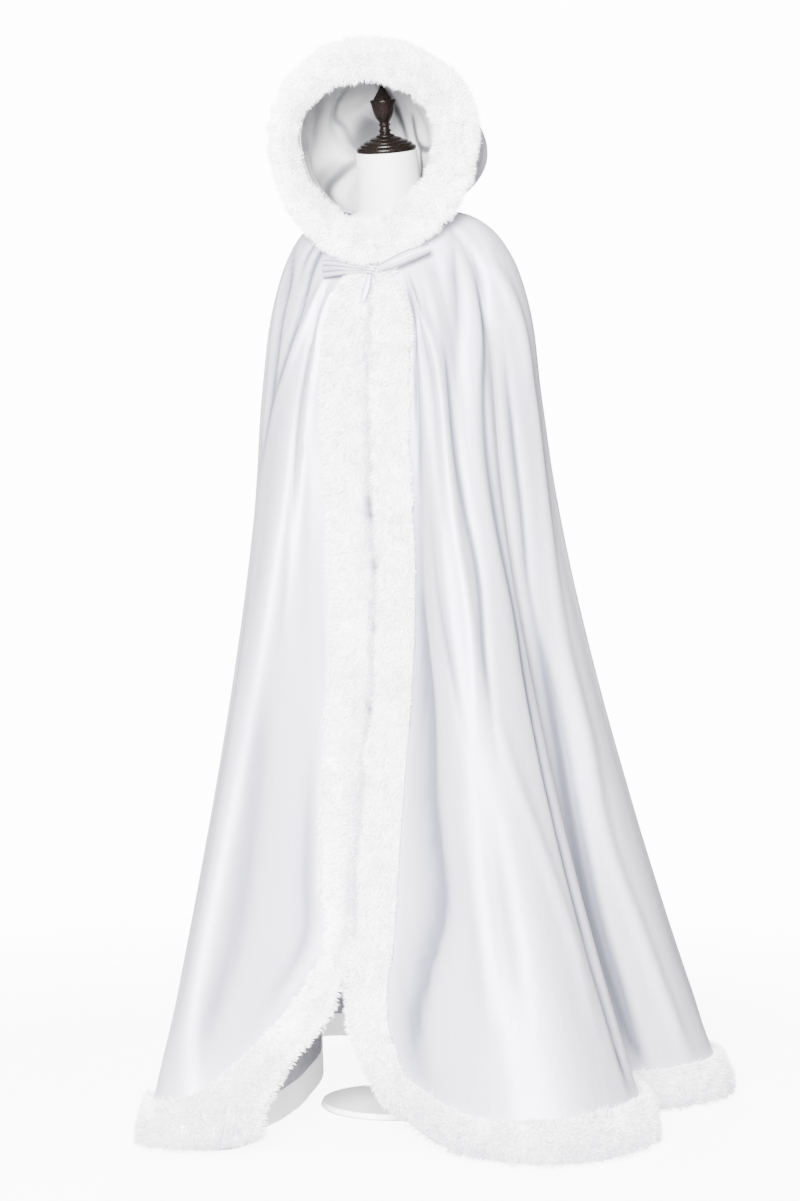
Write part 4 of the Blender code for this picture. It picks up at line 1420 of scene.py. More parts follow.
@dataclass
class Pile:
    """Hairs of the plush, grown from a grid of its backing."""

    length: float = 0.0165
    half_width: float = 0.00058
    droop: float = 0.45
    wander: float = 0.30
    clump: float = 0.70
    clump_spacing: float = 0.017
    swing: float = 0.28
    sink: float = 0.0012
    floor: float = 0.0015

    def grow(
        self, name: str, points: np.ndarray, reach: np.ndarray, comb: np.ndarray, tone: np.ndarray,
        count: int, seed: int,
    ) -> bpy.types.Mesh:
        """Grow hairs over a backing.

        Args:
            name: Name of the plush.
            points: Grid of points of the backing.
            reach: Share of the full length at each point.
            comb: Way the pile is combed at each point.
            tone: Painted shade at each point, as the share of the tip's whiteness that the hairs reach.
            count: How many hairs.
            seed: Start of the random numbers.

        Returns:
            The hairs.
        """
        dice = np.random.default_rng(seed)
        normals = surface_normals(points)
        first = points[1:, :-1] - points[:-1, :-1]
        second = points[:-1, 1:] - points[:-1, :-1]
        area = np.linalg.norm(np.cross(first, second), axis=2).reshape(-1)
        cell = dice.choice(len(area), size=count, p=area / area.sum())
        i, j = np.divmod(cell, points.shape[1] - 1)
        s = dice.random((count, 1))
        t = dice.random((count, 1))

        def read(grid: np.ndarray) -> np.ndarray:
            """Value of a grid under each hair.

            Args:
                grid: Grid of values, one for each point of the backing.

            Returns:
                The value under each hair.
            """
            return (
                grid[i, j] * (1 - s) * (1 - t) + grid[i + 1, j] * s * (1 - t)
                + grid[i, j + 1] * (1 - s) * t + grid[i + 1, j + 1] * s * t
            )

        root = read(points)
        normal = unit(read(normals))
        way = read(comb)
        share = read(reach[..., None])[:, 0]
        tuft = self.tufts(root, dice)
        middle = np.zeros((tuft.max() + 1, 3))
        amount = np.bincount(tuft, minlength=len(middle)).reshape(-1, 1)
        for axis in range(3):
            middle[:, axis] = np.bincount(tuft, weights=root[:, axis], minlength=len(middle))
        middle = middle / np.maximum(amount, 1)
        swing = dice.normal(size=(len(middle), 3))[tuft] * self.swing
        pull = (middle[tuft] - root) / self.length * self.clump
        stray = dice.normal(size=(count, 3)) * self.wander
        tall = 0.80 + 0.40 * dice.random(len(middle))
        long = self.length * share * tall[tuft] * (0.74 + 0.42 * dice.random(count))
        start = unit(normal * 1.1 + way * self.droop * 0.5 + stray * 0.6 + swing * 0.5)
        end = unit(normal * 0.75 + way * self.droop + stray + swing + pull)
        bend = root + start * (long * 0.55)[:, None]
        tip = bend + end * (long * 0.55)[:, None]
        side = unit(np.cross(end, dice.normal(size=(count, 3)))) * self.half_width
        foot = root - normal * self.sink
        dots = np.stack((foot - side, foot + side, bend + side * 0.95, bend - side * 0.95, tip), axis=1)
        dots[:, :, 2] = np.maximum(dots[:, :, 2], self.floor)
        return self.mesh(name, dots, read(tone[..., None])[:, 0])

    def tufts(self, root: np.ndarray, dice: np.random.Generator) -> np.ndarray:
        """Which tuft each hair belongs to, on a jittered lattice.

        Args:
            root: Root of each hair.
            dice: Source of the random numbers.

        Returns:
            Number of each hair's tuft.
        """
        jitter = root + dice.normal(size=root.shape) * self.clump_spacing * 0.12
        cells = np.floor(jitter / self.clump_spacing).astype(int)
        cells -= cells.min(axis=0)
        span = cells.max(axis=0) + 1
        code = (cells[:, 0] * span[1] + cells[:, 1]) * span[2] + cells[:, 2]
        return np.unique(code, return_inverse=True)[1].reshape(-1)

    def mesh(self, name: str, dots: np.ndarray, white: np.ndarray) -> bpy.types.Mesh:
        """Mesh of the hairs: two faces each, wide at the root and pointed at the tip.

        Args:
            name: The mesh's name.
            dots: The five points of each hair.
            white: Whiteness of each hair, lowered where shade is painted.

        Returns:
            The hairs.
        """
        count = len(dots)
        base = np.arange(count)[:, None] * 5
        quads = base + np.array((0, 1, 2, 3))
        tips = base + np.array((3, 2, 4))
        loops = np.concatenate((quads, tips), axis=1).reshape(-1)
        starts = (np.arange(count)[:, None] * 7 + np.array((0, 4))).reshape(-1)
        mesh = raw_mesh(name, dots, loops, starts)
        # Painted shade: each hair runs from the dark root colour at its foot to the white tip.
        hair = np.array((0.0, 0.0, 0.55, 0.55, 1.0)) * np.clip(white, 0.0, 1.0)[:, None]
        mark_points(mesh, "hair", hair + np.minimum(white, 0.0)[:, None])
        return mesh


@dataclass(frozen=True)
class FrontBand:
    """What differs between the plush bands of the two front edges."""

    side: Side
    word: str
    corner_rows: Pair
    slimmer: float
    seed: int


@dataclass
class PlushTrim:
    """Plush bands down the fronts, along the hem and round the face."""

    drape: CloakDrape
    ring: RingLine
    finish: bpy.types.Material
    clearance: float = 0.0012
    crown: float = 0.0095
    edge: float = 0.0030
    # The woolly body takes mostly the root colour: painted shade under the hairs.
    root_white: float = 0.25
    hem_fall: float = 0.004
    hem_lowest: float = 0.0040
    ring_rise: float = 0.0155
    ring_sink: float = 0.0020
    ring_back: float = 0.0050
    chin_left: float = 0.0055
    chin_right: float = 0.0045
    right_band: FrontBand = FrontBand(Side.RIGHT, "right", (14.7, 15.4), 0.24, 12)
    left_band: FrontBand = FrontBand(Side.LEFT, "left", (15.2, 15.8), 0.0, 11)
    front_width: float = 1.05
    front_columns: int = 15
    front_rows: int = 240
    open_rows: Pair = (12.4, 13.6)
    hem_top: float = 16.04
    hem_columns: int = 12
    hem_steps: int = 60
    ring_steps: int = 72
    ring_columns: int = 17
    ring_reach: float = 0.80
    ring_seed: int = 21
    notches: Pairs = (
        (7.38, 0.10), (7.54, 0.07), (8.16, 0.09), (8.94, 0.055), (9.95, 0.065),
    )

    def backing(self, name: str, loops: np.ndarray, tone: np.ndarray | float = 1.0) -> bpy.types.Object:
        """Closed woolly body through loops of points, with the whiteness of each.

        Args:
            name: The object's name.
            loops: Loops of points, one after another.
            tone: Whiteness of each point, or of all, lowered where shade is painted.

        Returns:
            The closed body.
        """
        builder = bmesh.new()
        rows = [[builder.verts.new(point) for point in loop] for loop in loops]
        count = len(rows[0])
        for upper, lower in zip(rows, rows[1:]):
            for k in range(count):
                after = (k + 1) % count
                builder.faces.new((upper[k], upper[after], lower[after], lower[k]))
        builder.faces.new(rows[0])
        builder.faces.new(rows[-1])
        bmesh.ops.recalc_face_normals(builder, faces=builder.faces[:])
        mesh = bpy.data.meshes.new(name)
        builder.to_mesh(mesh)
        builder.free()
        white = np.broadcast_to(np.asarray(tone, float), loops.shape[:2]).reshape(-1)
        mark_points(mesh, "hair", self.root_white * np.clip(white, 0.0, 1.0) + np.minimum(white, 0.0))
        return link_mesh(name, mesh, self.finish)

    def finish_piece(self, body: bpy.types.Object, hairs: bpy.types.Mesh, *nodes: str) -> bpy.types.Object:
        """Args:
            body: The woolly body.
            hairs: Its hairs.
            *nodes: The solids that it replaces.

        Returns:
            The finished piece.
        """
        growth = link_mesh(f"{body.name}_hairs", hairs, self.finish)
        select_only(body, growth)
        bpy.ops.object.join()
        body.select_set(False)
        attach(body, "root")
        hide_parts(*nodes)
        return body

    def front(self, band: FrontBand, count: int) -> bpy.types.Object:
        """Band down one front edge.

        Args:
            band: Which front's band.
            count: How many hairs.

        Returns:
            The finished band.
        """
        side = band.side
        across = np.linspace(0.0, self.front_width, self.front_columns)
        rows = np.linspace(0.0, self.drape.last_row, self.front_rows)
        left = side is Side.LEFT
        stations = self.drape.left_trim + across if left else (self.drape.right_trim - across)[::-1]
        smooth = self.drape.surface(stations, rows)
        part = across if side is Side.LEFT else across[::-1]
        corner = smooth_step(*band.corner_rows, rows)
        slim = 0.05 + band.slimmer * np.exp(-(((rows - 13.7) / 0.9) ** 2))
        slim = slim * (1.0 - corner)
        inner = smooth[0] if side is Side.LEFT else smooth[-1]
        outer = smooth[-1] if side is Side.LEFT else smooth[0]
        pull = (1.0 - part)[:, None] * slim * (part < 1.0)[:, None]
        smooth = smooth + (outer - inner) * pull[..., None]
        normals = surface_normals(smooth)
        round_off = np.sin(np.pi * np.clip(part / self.front_width, 0.0, 1.0)) ** 0.6
        full = round_off[:, None]
        full = full + (1.0 - full) * corner * (1.0 - smooth_step(0.3, 0.7, part))[:, None]
        lumps = 1.0 + 0.16 * np.sin(rows * 5.1 + 1.3) * np.cos(part * 4.0)[:, None]
        height = self.edge + (self.crown * lumps - self.edge) * full
        base = smooth + normals * (self.clearance + height)[..., None]
        side_way = unit(np.gradient(smooth, axis=0)) * side.value
        notch = sum(np.exp(-(((rows - place) / size) ** 2)) for place, size in self.notches)
        wave = 0.0020 * np.sin(rows * 4.3 + 0.6) + 0.0010 * np.sin(rows * 9.7)
        open_low = smooth_step(*self.open_rows, rows)
        wave = wave * side.value - 0.0012 * notch
        ripple = (0.0020 * np.sin(rows * 6.3 + 1.1) + 0.0016 * np.sin(rows * 13.9)) * (1.0 - corner)
        base += side_way * (wave * smooth_step(0.5, 1.0, part)[:, None])[..., None]
        base -= side_way * (ripple * (1.0 - smooth_step(0.0, 0.5, part))[:, None])[..., None]
        under = smooth + normals * self.clearance
        edge = -1 if side is Side.LEFT else 0
        slide = side_way[edge] * wave[:, None]
        near = smooth[edge] + normals[edge] * 0.0014 + side_way[edge] * 0.0026 + slide
        far = smooth[edge] - normals[edge] * 0.0024 + side_way[edge] * 0.0018 + slide
        spread = 0.72 + 0.28 * np.sin(np.pi * np.clip(part, 0, 1)) ** 0.5
        thin = 0.45 * notch + 0.30 * (1 - open_low)
        spread = spread[:, None] * (1.0 - smooth_step(0.80, 1.0, part)[:, None] * thin)
        comb = unit(np.gradient(smooth, axis=1))
        outward = 1.2 * (2 * part - 1)[:, None] ** 3
        outward = outward * (1.0 - 0.85 * smooth_step(0.50, 0.90, part)[:, None] * (1.0 - open_low))
        outward = outward * (1.0 - corner * (1.0 - smooth_step(0.3, 0.6, part))[:, None])
        comb = comb + side_way * outward[..., None]
        # Painted shade: the pile is darkened where the two fronts meet, more at the notches, at the rounded
        # corner and towards the hem.
        tone = 1.0 - 0.75 * smooth_step(0.90, 1.0, part)[:, None] * (1.0 - open_low)
        tone = tone - smooth_step(0.93, 1.0, part)[:, None] * (1.0 - open_low) * (0.30 + 0.70 * notch)
        tone = tone - 0.38 * corner - 0.44 * np.clip((rows - 15.95) / 1.05, 0.0, 1.0) ** 1.5
        rolled = comb[edge] + side_way[edge] * (0.9 * open_low - 0.1)[:, None]
        short = spread[edge] * (0.45 + 0.40 * open_low)

        def with_edge(grid: np.ndarray, first: np.ndarray, second: np.ndarray) -> np.ndarray:
            """Grid with the two columns that turn its open edge in.

            Args:
                grid: Grid of the band.
                first: Column next to it.
                second: Outermost column.

            Returns:
                The wider grid.
            """
            if side is Side.LEFT:
                return np.concatenate((grid, first[None], second[None]))
            return np.concatenate((second[None], first[None], grid))

        skin = with_edge(base, near, far)
        comb = with_edge(comb, rolled, rolled)
        spread = with_edge(spread, short, short)
        tone = with_edge(tone, tone[edge], tone[edge])
        if side is Side.LEFT:
            loops = np.concatenate((under, skin[::-1])).transpose(1, 0, 2)
            shown = np.concatenate((tone[:-2], tone[::-1])).T
        else:
            loops = np.concatenate((skin, under[::-1])).transpose(1, 0, 2)
            shown = np.concatenate((tone, tone[2:][::-1])).T
        body = self.backing(f"plush_front_{band.word}", loops, shown)
        pile = Pile()
        hairs = pile.grow(f"hairs_front_{band.word}", skin, spread, comb, tone, count, band.seed)
        return self.finish_piece(body, hairs, f"front_fur_{band.word}")

    def hem(
        self, name: str, first: float, last: float, columns: int, count: int, seed: int
    ) -> bpy.types.Object:
        """Band along the hem between two stations, rounded up into the front bands.

        Args:
            name: The band, as its solid is named.
            first: First station.
            last: Last station.
            columns: Steps along the band.
            count: How many hairs.
            seed: Start of the random numbers.

        Returns:
            The finished band.
        """
        down = np.linspace(0.0, 1.0, self.hem_columns)
        stations = np.linspace(first, last, columns)
        top = self.hem_top - 1.05 * np.clip(1.0 - (stations - self.drape.right_trim) / 1.6, 0.0, 1.0) ** 2.0
        top += 0.10 * smooth_step(29.0, 31.0, stations)
        top -= 0.60 * np.clip(1.0 - (self.drape.left_trim - stations) / 0.75, 0.0, 1.0) ** 2.0
        deepest = math.floor(top.min() * 4) / 4
        fine = np.linspace(deepest, self.drape.last_row, self.hem_steps)
        smooth_all = self.drape.surface(stations, fine)
        smooth = np.empty((columns, len(down), 3))
        for k in range(columns):
            places = top[k] + (self.drape.last_row - top[k]) * down
            for axis in range(3):
                smooth[k, :, axis] = np.interp(places, fine, smooth_all[k, :, axis])
        normals = surface_normals(smooth)
        lumps = 1.0 + 0.12 * np.sin(stations * 5.7 + 0.4)[:, None] * np.cos(down * 3.0)
        height = self.edge + (self.crown * lumps - self.edge) * np.sin(np.pi * (0.10 + 0.80 * down)) ** 0.6
        base = smooth + normals * (self.clearance + height)[..., None]
        base[:, -1, 2] -= self.hem_fall
        base[:, :, 2] = np.maximum(base[:, :, 2], self.hem_lowest)
        under = smooth + normals * self.clearance
        loops = np.concatenate((under, base[:, ::-1]), axis=1)
        body = self.backing(f"plush_{name}", loops)
        reach = np.repeat((0.75 + 0.25 * np.sin(np.pi * down) ** 0.5)[None, :], columns, axis=0)
        way = unit(np.gradient(smooth, axis=1))
        comb = way * ((0.2 + 0.8 * down) - 0.8 * (1 - down) ** 2)[None, :, None]
        pile = Pile()
        # Painted shade: the hem's pile stays below the tip's white and darkens further towards the bottom.
        tone = np.repeat((0.62 - 0.44 * down**1.5)[None, :], columns, axis=0)
        hairs = pile.grow(f"hairs_{name}", base, reach, comb, tone, count, seed)
        return self.finish_piece(body, hairs, name)

    def face(self, count: int) -> bpy.types.Object:
        """Ring round the face opening.

        Args:
            count: How many hairs.

        Returns:
            The finished ring.
        """
        centre, wide, thick, half = self.ring.frames(self.ring_steps)
        section = np.linspace(-1.0, 1.0, self.ring_columns)
        bulge = np.sqrt(np.maximum(0.0, 1.0 - section**2 * 0.98))
        reach_out = section * self.ring_reach
        base = (
            centre[:, None] + wide[:, None] * (half[:, None] * reach_out)[..., None]
            + thick[:, None] * (bulge * self.ring_rise - self.ring_sink)[None, :, None]
        )
        back = (
            centre[:, None] + wide[:, None] * (half[:, None] * reach_out[::-1] * 0.9)[..., None]
            - thick[:, None] * self.ring_back
        )
        base[-1, :, 0] = 0.0
        back[-1, :, 0] = 0.0
        base[0, :, 0] = self.chin_left
        back[0, :, 0] = self.chin_left
        flip = np.array((-1.0, 1.0, 1.0))
        other_base = (base[:-1] * flip)[::-1]
        other_back = (back[:-1] * flip)[::-1]
        other_base[-1, :, 0] = self.chin_right
        other_back[-1, :, 0] = self.chin_right
        skin = np.concatenate((base, other_base), axis=0)
        rear = np.concatenate((back, other_back), axis=0)
        body = self.backing("plush_face_ring", np.concatenate((skin, rear), axis=1))
        if surface_normals(skin)[10, 8, 1] > 0:
            skin = skin[:, ::-1]
            section = section[::-1]
        reach = 0.80 + 0.20 * np.sqrt(np.maximum(0.0, 1 - section**2))
        reach = np.repeat(reach[None, :], len(skin), axis=0)
        ways = np.concatenate((wide, (wide[:-1] * flip)[::-1]), axis=0)
        comb = ways[:, None] * (section * 1.5)[None, :, None] + np.array((0.0, 0.0, -0.25))
        pile = Pile()
        # Painted shade: the ring's pile darkens towards its inner and outer edges.
        tone = np.repeat((1.0 - 0.45 * np.abs(section) ** 3)[None, :], len(skin), axis=0)
        hairs = pile.grow("hairs_face_ring", skin, reach, comb, tone, count, self.ring_seed)
        return self.finish_piece(body, hairs, "hood_fur")

    def build(self) -> list[bpy.types.Object]:
        """Make every plush band.

        Returns:
            The finished pieces.
        """
        return [
            self.front(self.right_band, 40000),
            self.front(self.left_band, 40000),
            self.hem("hem_fur_right", self.drape.right_trim, 7.995, 150, 20000, 31),
            self.hem("hem_fur_back", 8.005, 25.995, 320, 38000, 32),
            self.hem("hem_fur_left", 26.005, self.drape.left_trim, 120, 17000, 33),
            self.face(50000),
        ]


@dataclass
class RibbonTie:
    """Ribbon knotted at the neck, with its two ends and its short tail."""

    finish: bpy.types.Material
    thickness: float = 0.0008
    ripple: float = 0.0015
    crown: float = 0.25
    wrap_depth: float = 0.07
    left: Rows = (
        (-0.0038, -0.1407, 1.4890, 0.0055),
        (-0.0280, -0.1402, 1.4905, 0.0085),
        (-0.0540, -0.1342, 1.4930, 0.0125),
        (-0.0860, -0.1202, 1.4940, 0.0165),
    )
    right: Rows = (
        (0.0220, -0.1407, 1.4900, 0.0055),
        (0.0460, -0.1412, 1.4980, 0.0090),
        (0.0760, -0.1322, 1.5120, 0.0105),
        (0.1100, -0.1192, 1.5250, 0.0072),
    )
    tail: Rows = (
        (0.0080, -0.1412, 1.4802, 0.0035),
        (0.0060, -0.1462, 1.4630, 0.0050),
        (0.0020, -0.1482, 1.4480, 0.0055),
        (-0.0020, -0.1497, 1.4340, 0.0030),
    )
    knot: Triple = (0.0090, -0.1407, 1.4895)
    knot_size: Triple = (0.0125, 0.0070, 0.0085)

    def strip(
        self, name: str, table: Rows, pleats: float
    ) -> bpy.types.Object:
        """One end of the ribbon.

        Args:
            name: The end, as its solid is named.
            table: Points of its middle line and half widths.
            pleats: How many pleats run along it.

        Returns:
            The finished end.
        """
        rows = np.array(table)
        fine = curve_through(np.arange(len(rows)), rows, np.linspace(0, len(rows) - 1, 60))
        way = unit(np.gradient(fine[:, :3], axis=0))
        out = np.array((0.0, -1.0, 0.0)) - way * way[:, 1:2] * -1.0
        out = unit(out)
        wide = np.cross(way, out)
        across = np.linspace(-1.0, 1.0, 25)
        ripple = self.ripple * np.cos(np.pi * pleats * across)
        belly = self.crown * (1 - np.abs(across))
        points = (
            fine[:, None, :3] + wide[:, None] * (fine[:, 3:4] * across)[..., None]
            + out[:, None] * (fine[:, 3:4] * belly + ripple)[..., None]
        )
        if surface_normals(points)[30, 12, 1] > 0:
            points = points[:, ::-1]
        # Painted shade inside the pleats and along the ribbon's edges.
        fold = np.clip(-ripple / self.ripple, 0.0, 1.0) ** 3.0 * 2.0
        fold = np.clip(fold + across**10, 0.0, 1.0)
        deep = np.repeat(fold[None, :], len(points), axis=0)
        thing = cloth_wall(f"ribbon_{name}", points, deep, self.finish, self.thickness)
        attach(thing, "root")
        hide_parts(name)
        return thing

    def wrap(self) -> bpy.types.Object:
        """The knot: a crowned pad with the folds of its wraps pressed in.

        Returns:
            The finished knot.
        """
        select_only()
        bpy.ops.mesh.primitive_uv_sphere_add(segments=48, ring_count=32, radius=1.0, location=(0, 0, 0))
        thing = bpy.context.object
        thing.name = "ribbon_knot"
        mesh = thing.data
        places = np.empty(len(mesh.vertices) * 3, np.float32)
        mesh.vertices.foreach_get("co", places)
        places = places.reshape(-1, 3)
        wraps = self.wrap_depth * np.cos(places[:, 2] * 9.0 + places[:, 0] * 2.4)
        pinch = 1.0 - 0.16 * np.abs(places[:, 0]) ** 3
        places = places * (1.0 - 0.05 + wraps[:, None] * (1 - places[:, 0:1] ** 2))
        places[:, 2] *= pinch
        places = places * np.array(self.knot_size) + np.array(self.knot)
        mesh.vertices.foreach_set("co", places.reshape(-1).astype(np.float32))
        # Painted shade in the folds between the wraps.
        mark_points(mesh, "trough", np.clip(-wraps / self.wrap_depth, 0, 1))
        mesh.materials.append(self.finish)
        mesh.shade_smooth()
        thing.select_set(False)
        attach(thing, "root")
        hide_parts("tie_knot")
        return thing

    def build(self) -> list[bpy.types.Object]:
        """Make the knot, its two ends and its tail.

        Returns:
            The finished pieces.
        """
        knot = self.wrap()
        return [
            knot,
            self.strip("tie_left", self.left, 3.0),
            self.strip("tie_right", self.right, 1.0),
            self.strip("tie_tail", self.tail, 0.0),
        ]


@dataclass
class DressForm:
    """Neck with its turned cap, and the torso under the cloak."""

    jersey: bpy.types.Material
    wood: bpy.types.Material
    steel: bpy.types.Material
    base: Triple = (0.0, -0.006, 1.580)
    lean: float = 12.5
    neck_radius: float = 0.0535
    neck_seam: float = 0.022
    neck_length: float = 0.128
    cap_gap: float = 0.0003
    rim_width: float = 0.0007
    cap: Pairs = (
        (0.0515, 0.0000),
        (0.0530, 0.0022),
        (0.0533, 0.0045),
        (0.0525, 0.0070),
        (0.0500, 0.0088),
        (0.0468, 0.0094),
        (0.0462, 0.0128),
        (0.0436, 0.0140),
        (0.0400, 0.0146),
        (0.0392, 0.0172),
        (0.0345, 0.0190),
        (0.0290, 0.0200),
        (0.0282, 0.0222),
        (0.0220, 0.0240),
        (0.0168, 0.0256),
        (0.0160, 0.0282),
        (0.0105, 0.0296),
        (0.0088, 0.0325),
        (0.0112, 0.0346),
        (0.0112, 0.0366),
        (0.0086, 0.0384),
        (0.0082, 0.0430),
        (0.0108, 0.0450),
        (0.0108, 0.0472),
        (0.0080, 0.0488),
        (0.0110, 0.0530),
        (0.0152, 0.0590),
        (0.0186, 0.0690),
        (0.0206, 0.0800),
        (0.0226, 0.0862),
        (0.0226, 0.0896),
        (0.0166, 0.0900),
        (0.0150, 0.0935),
        (0.0118, 0.0985),
        (0.0076, 0.1050),
        (0.0028, 0.1130),
    )

    def turned(
        self, name: str, profile: Pairs, foot: float,
        finish: bpy.types.Material, sides: int,
    ) -> bpy.types.Object:
        """Turn a piece on the leaning axis of the neck.

        Args:
            name: The object's name.
            profile: Radius and height of each ring, upwards.
            foot: Distance of the first ring from the neck's base.
            finish: Its material.
            sides: How many sides.

        Returns:
            The finished piece.
        """
        select_only()
        bpy.ops.mesh.primitive_circle_add(vertices=sides, radius=profile[0][0], fill_type="NGON")
        thing = bpy.context.object
        thing.name = name
        bpy.ops.object.mode_set(mode="EDIT")
        bpy.ops.mesh.select_all(action="SELECT")
        for (before, low), (after, high) in zip(profile, profile[1:]):
            bpy.ops.mesh.extrude_region_move(TRANSFORM_OT_translate={"value": (0.0, 0.0, high - low)})
            size = after / before
            bpy.ops.transform.resize(value=(size, size, 1.0), center_override=(0.0, 0.0, high))
        bpy.ops.mesh.select_all(action="SELECT")
        bpy.ops.mesh.normals_make_consistent(inside=False)
        bpy.ops.object.mode_set(mode="OBJECT")
        spin = Euler((math.radians(self.lean), 0.0, 0.0)).to_matrix().to_4x4()
        spin.translation = Vector(self.base) + spin.to_3x3() @ Vector((0.0, 0.0, foot))
        thing.data.transform(spin)
        rim = thing.modifiers.new("rim", "BEVEL")
        rim.width = self.rim_width
        rim.segments = 3
        rim.limit_method = "ANGLE"
        rim.angle_limit = math.radians(38)
        bpy.ops.object.modifier_apply(modifier=rim.name)
        bpy.ops.object.shade_smooth_by_angle(angle=math.radians(40))
        thing.data.materials.append(finish)
        thing.select_set(False)
        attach(thing, "root")
        return thing

    def build(self) -> list[bpy.types.Object]:
        """Make the neck and the cap, and dress the torso and the stand.

        Returns:
            The finished pieces.
        """
        profile = (
            (self.neck_radius + 0.004, self.neck_seam),
            (self.neck_radius + 0.002, 0.075),
            (self.neck_radius, self.neck_length),
        )
        neck = self.turned("jersey_neck", profile, self.neck_seam, self.jersey, 72)
        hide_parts("form_neck")
        cap = self.turned("turned_cap", self.cap, self.neck_length + self.cap_gap, self.wood, 56)
        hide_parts("form_cap")
        torso = self.torso()
        for node in ("stand_pole", "stand_base"):
            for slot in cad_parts[node].material_slots:
                slot.material = self.steel
        return [neck, cap, torso]

    def torso(self) -> bpy.types.Object:
        """Smooth the torso's own surface for its jersey cover.

        Returns:
            The finished torso.
        """
        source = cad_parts["form_torso"]
        mesh = source.data.copy()
        mesh.materials.clear()
        thing = link_mesh("jersey_torso", mesh, self.jersey)
        thing.matrix_world = source.matrix_world.copy()
        select_only(thing)
        bpy.ops.object.transform_apply(location=True, rotation=True, scale=True)
        bpy.ops.object.mode_set(mode="EDIT")
        bpy.ops.mesh.select_all(action="SELECT")
        bpy.ops.mesh.remove_doubles(threshold=0.00005)
        bpy.ops.mesh.tris_convert_to_quads(face_threshold=1.2, shape_threshold=1.2)
        bpy.ops.object.mode_set(mode="OBJECT")
        soft = thing.modifiers.new("soft", "SUBSURF")
        soft.levels = 1
        soft.render_levels = 1
        bpy.ops.object.modifier_apply(modifier=soft.name)
        bpy.ops.object.shade_smooth()
        thing.select_set(False)
        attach(thing, "root")
        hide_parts("form_torso")
        return thing


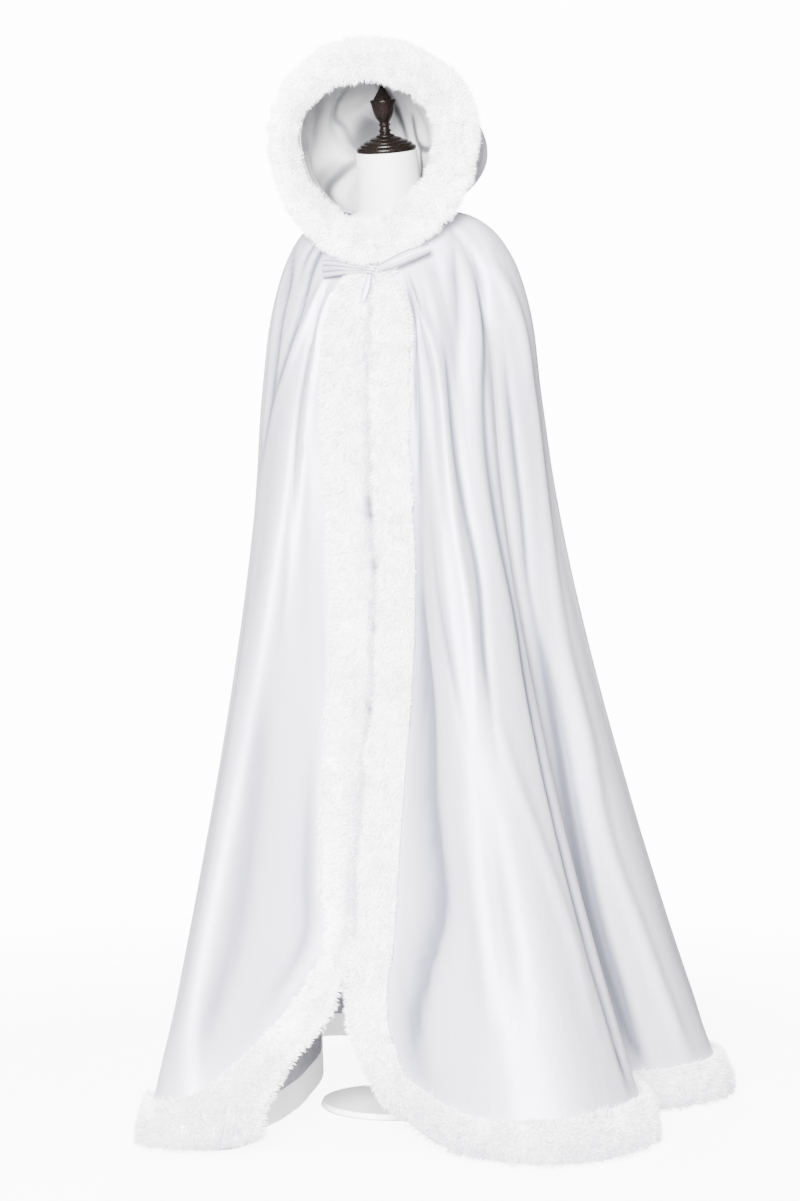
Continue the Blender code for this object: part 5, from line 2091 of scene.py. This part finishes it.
@dataclass
class Studio:
    """Pale floor, soft light and the camera of the photograph."""

    distance: float = 5.0
    height: float = 1.12
    azimuth: float = 20.0
    focal_pixels: float = 2800.0
    image: Pair = (800.0, 1201.0)
    axis_pixel: Pair = (393.0, 483.0)
    ambient: float = 0.13
    backdrop: float = 18.0
    lamps: tuple[tuple[str, Triple, Triple, float, float], ...] = (
        ("key", (0.9, -5.0, 2.3), (0.0, 0.0, 1.0), 1.8, 2750.0),
        ("fill_left", (-4.4, -2.0, 2.0), (0.0, 0.0, 1.0), 2.0, 20.0),
        ("fill_right", (4.6, -1.4, 2.0), (0.0, 0.0, 1.0), 2.0, 140.0),
        ("top", (0.0, 0.0, 5.5), (0.0, 0.0, 0.0), 4.0, 160.0),
        ("back", (-1.7, 4.8, 2.3), (0.0, 0.0, 1.0), 2.0, 900.0),
        ("low", (1.1, -4.2, 0.5), (0.0, 0.0, 0.2), 0.8, 60.0),
    )

    def floor(self) -> None:
        """Lay the floor."""
        select_only()
        bpy.ops.mesh.primitive_circle_add(vertices=96, radius=60.0, fill_type="NGON", location=(0, 0, 0))
        ground = bpy.context.object
        ground.name = "floor"
        ground.data.materials.append(FloorFinish().make())
        ground.select_set(False)

    def lamp(
        self, name: str, place: Triple, aim: Triple,
        size: float, power: float,
    ) -> None:
        """Hang a soft square lamp.

        Args:
            name: The lamp's name.
            place: Where it hangs.
            aim: What it points at.
            size: Its side.
            power: Its power in watts.
        """
        light = bpy.data.lights.new(name, "AREA")
        light.shape = "SQUARE"
        light.size = size
        light.energy = power
        lamp = bpy.data.objects.new(name, light)
        lamp.location = place
        lamp.rotation_euler = (Vector(aim) - Vector(place)).to_track_quat("-Z", "Y").to_euler()
        bpy.context.scene.collection.objects.link(lamp)

    def camera(self) -> None:
        """Set up the camera where the photograph was taken from."""
        turn = math.radians(self.azimuth)
        ahead = Vector((-math.sin(turn), math.cos(turn), 0.0))
        right = Vector((math.cos(turn), math.sin(turn), 0.0))
        pitch = math.atan((self.image[1] / 2 - self.axis_pixel[1]) / self.focal_pixels)
        sway = (self.image[0] / 2 - self.axis_pixel[0]) / self.focal_pixels
        look = (ahead + right * sway).normalized() * math.cos(pitch) - Vector((0.0, 0.0, math.sin(pitch)))
        lens = bpy.data.cameras.new("photo_camera")
        lens.sensor_fit = "VERTICAL"
        lens.sensor_height = 36.0
        lens.lens = 36.0 * self.focal_pixels / self.image[1]
        lens.clip_end = 200.0
        seen = bpy.data.objects.new("photo_camera", lens)
        seen.location = (math.sin(turn) * self.distance, -math.cos(turn) * self.distance, self.height)
        seen.rotation_euler = look.to_track_quat("-Z", "Y").to_euler()
        bpy.context.scene.collection.objects.link(seen)
        bpy.context.scene.camera = seen

    def sky(self) -> None:
        """White surroundings, brighter to the eye than as light."""
        world = bpy.data.worlds.new("studio")
        world.use_nodes = True
        tree = world.node_tree
        light = tree.nodes["Background"]
        light.inputs["Color"].default_value = (1.0, 1.0, 1.0, 1.0)
        light.inputs["Strength"].default_value = self.ambient
        seen = tree.nodes.new("ShaderNodeBackground")
        seen.inputs["Strength"].default_value = self.backdrop
        path = tree.nodes.new("ShaderNodeLightPath")
        mix = tree.nodes.new("ShaderNodeMixShader")
        tree.links.new(path.outputs["Is Camera Ray"], mix.inputs[0])
        tree.links.new(light.outputs[0], mix.inputs[1])
        tree.links.new(seen.outputs[0], mix.inputs[2])
        tree.links.new(mix.outputs[0], tree.nodes["World Output"].inputs["Surface"])
        bpy.context.scene.world = world

    def build(self) -> None:
        """Set up the whole studio."""
        self.floor()
        self.sky()
        self.camera()
        for name, place, aim, size, power in self.lamps:
            self.lamp(name, place, aim, size, power)


def main() -> None:
    """Build every piece of the cloak and its form."""
    logging.basicConfig(level=logging.INFO, format="%(message)s")
    Studio().build()
    satin = SatinFinish().make()
    # The lining's near-black shade colour is painted shade in its pleats.
    lining = SatinFinish(
        name="grey_lining", light=(0.44, 0.44, 0.45, 1.0), shade=(0.034, 0.034, 0.038, 1.0), lustre=0.15,
    ).make()
    # The hem tape gets painted light, so that it looks lit inside the cloak.
    tape = SatinFinish(
        name="pale_hem_tape", light=(0.93, 0.93, 0.94, 1.0), shade=(0.72, 0.72, 0.75, 1.0), lustre=0.0,
        painted_glow=0.9,
    ).make()
    plush = PlushFinish().make()
    drape = CloakDrape()
    ring = RingLine()
    builders = (
        SatinBody(drape, Folds(), satin, tape),
        Hood(drape, ring, satin, lining),
        PlushTrim(drape, ring, plush),
        RibbonTie(satin),
        DressForm(JerseyFinish().make(), TurnedWoodFinish().make(), PaintedSteelFinish().make()),
    )
    for builder in builders:
        for piece in builder.build():
            LOG.info("%s: %d faces", piece.name, len(piece.data.polygons))


if __name__ == "__main__":
    main()
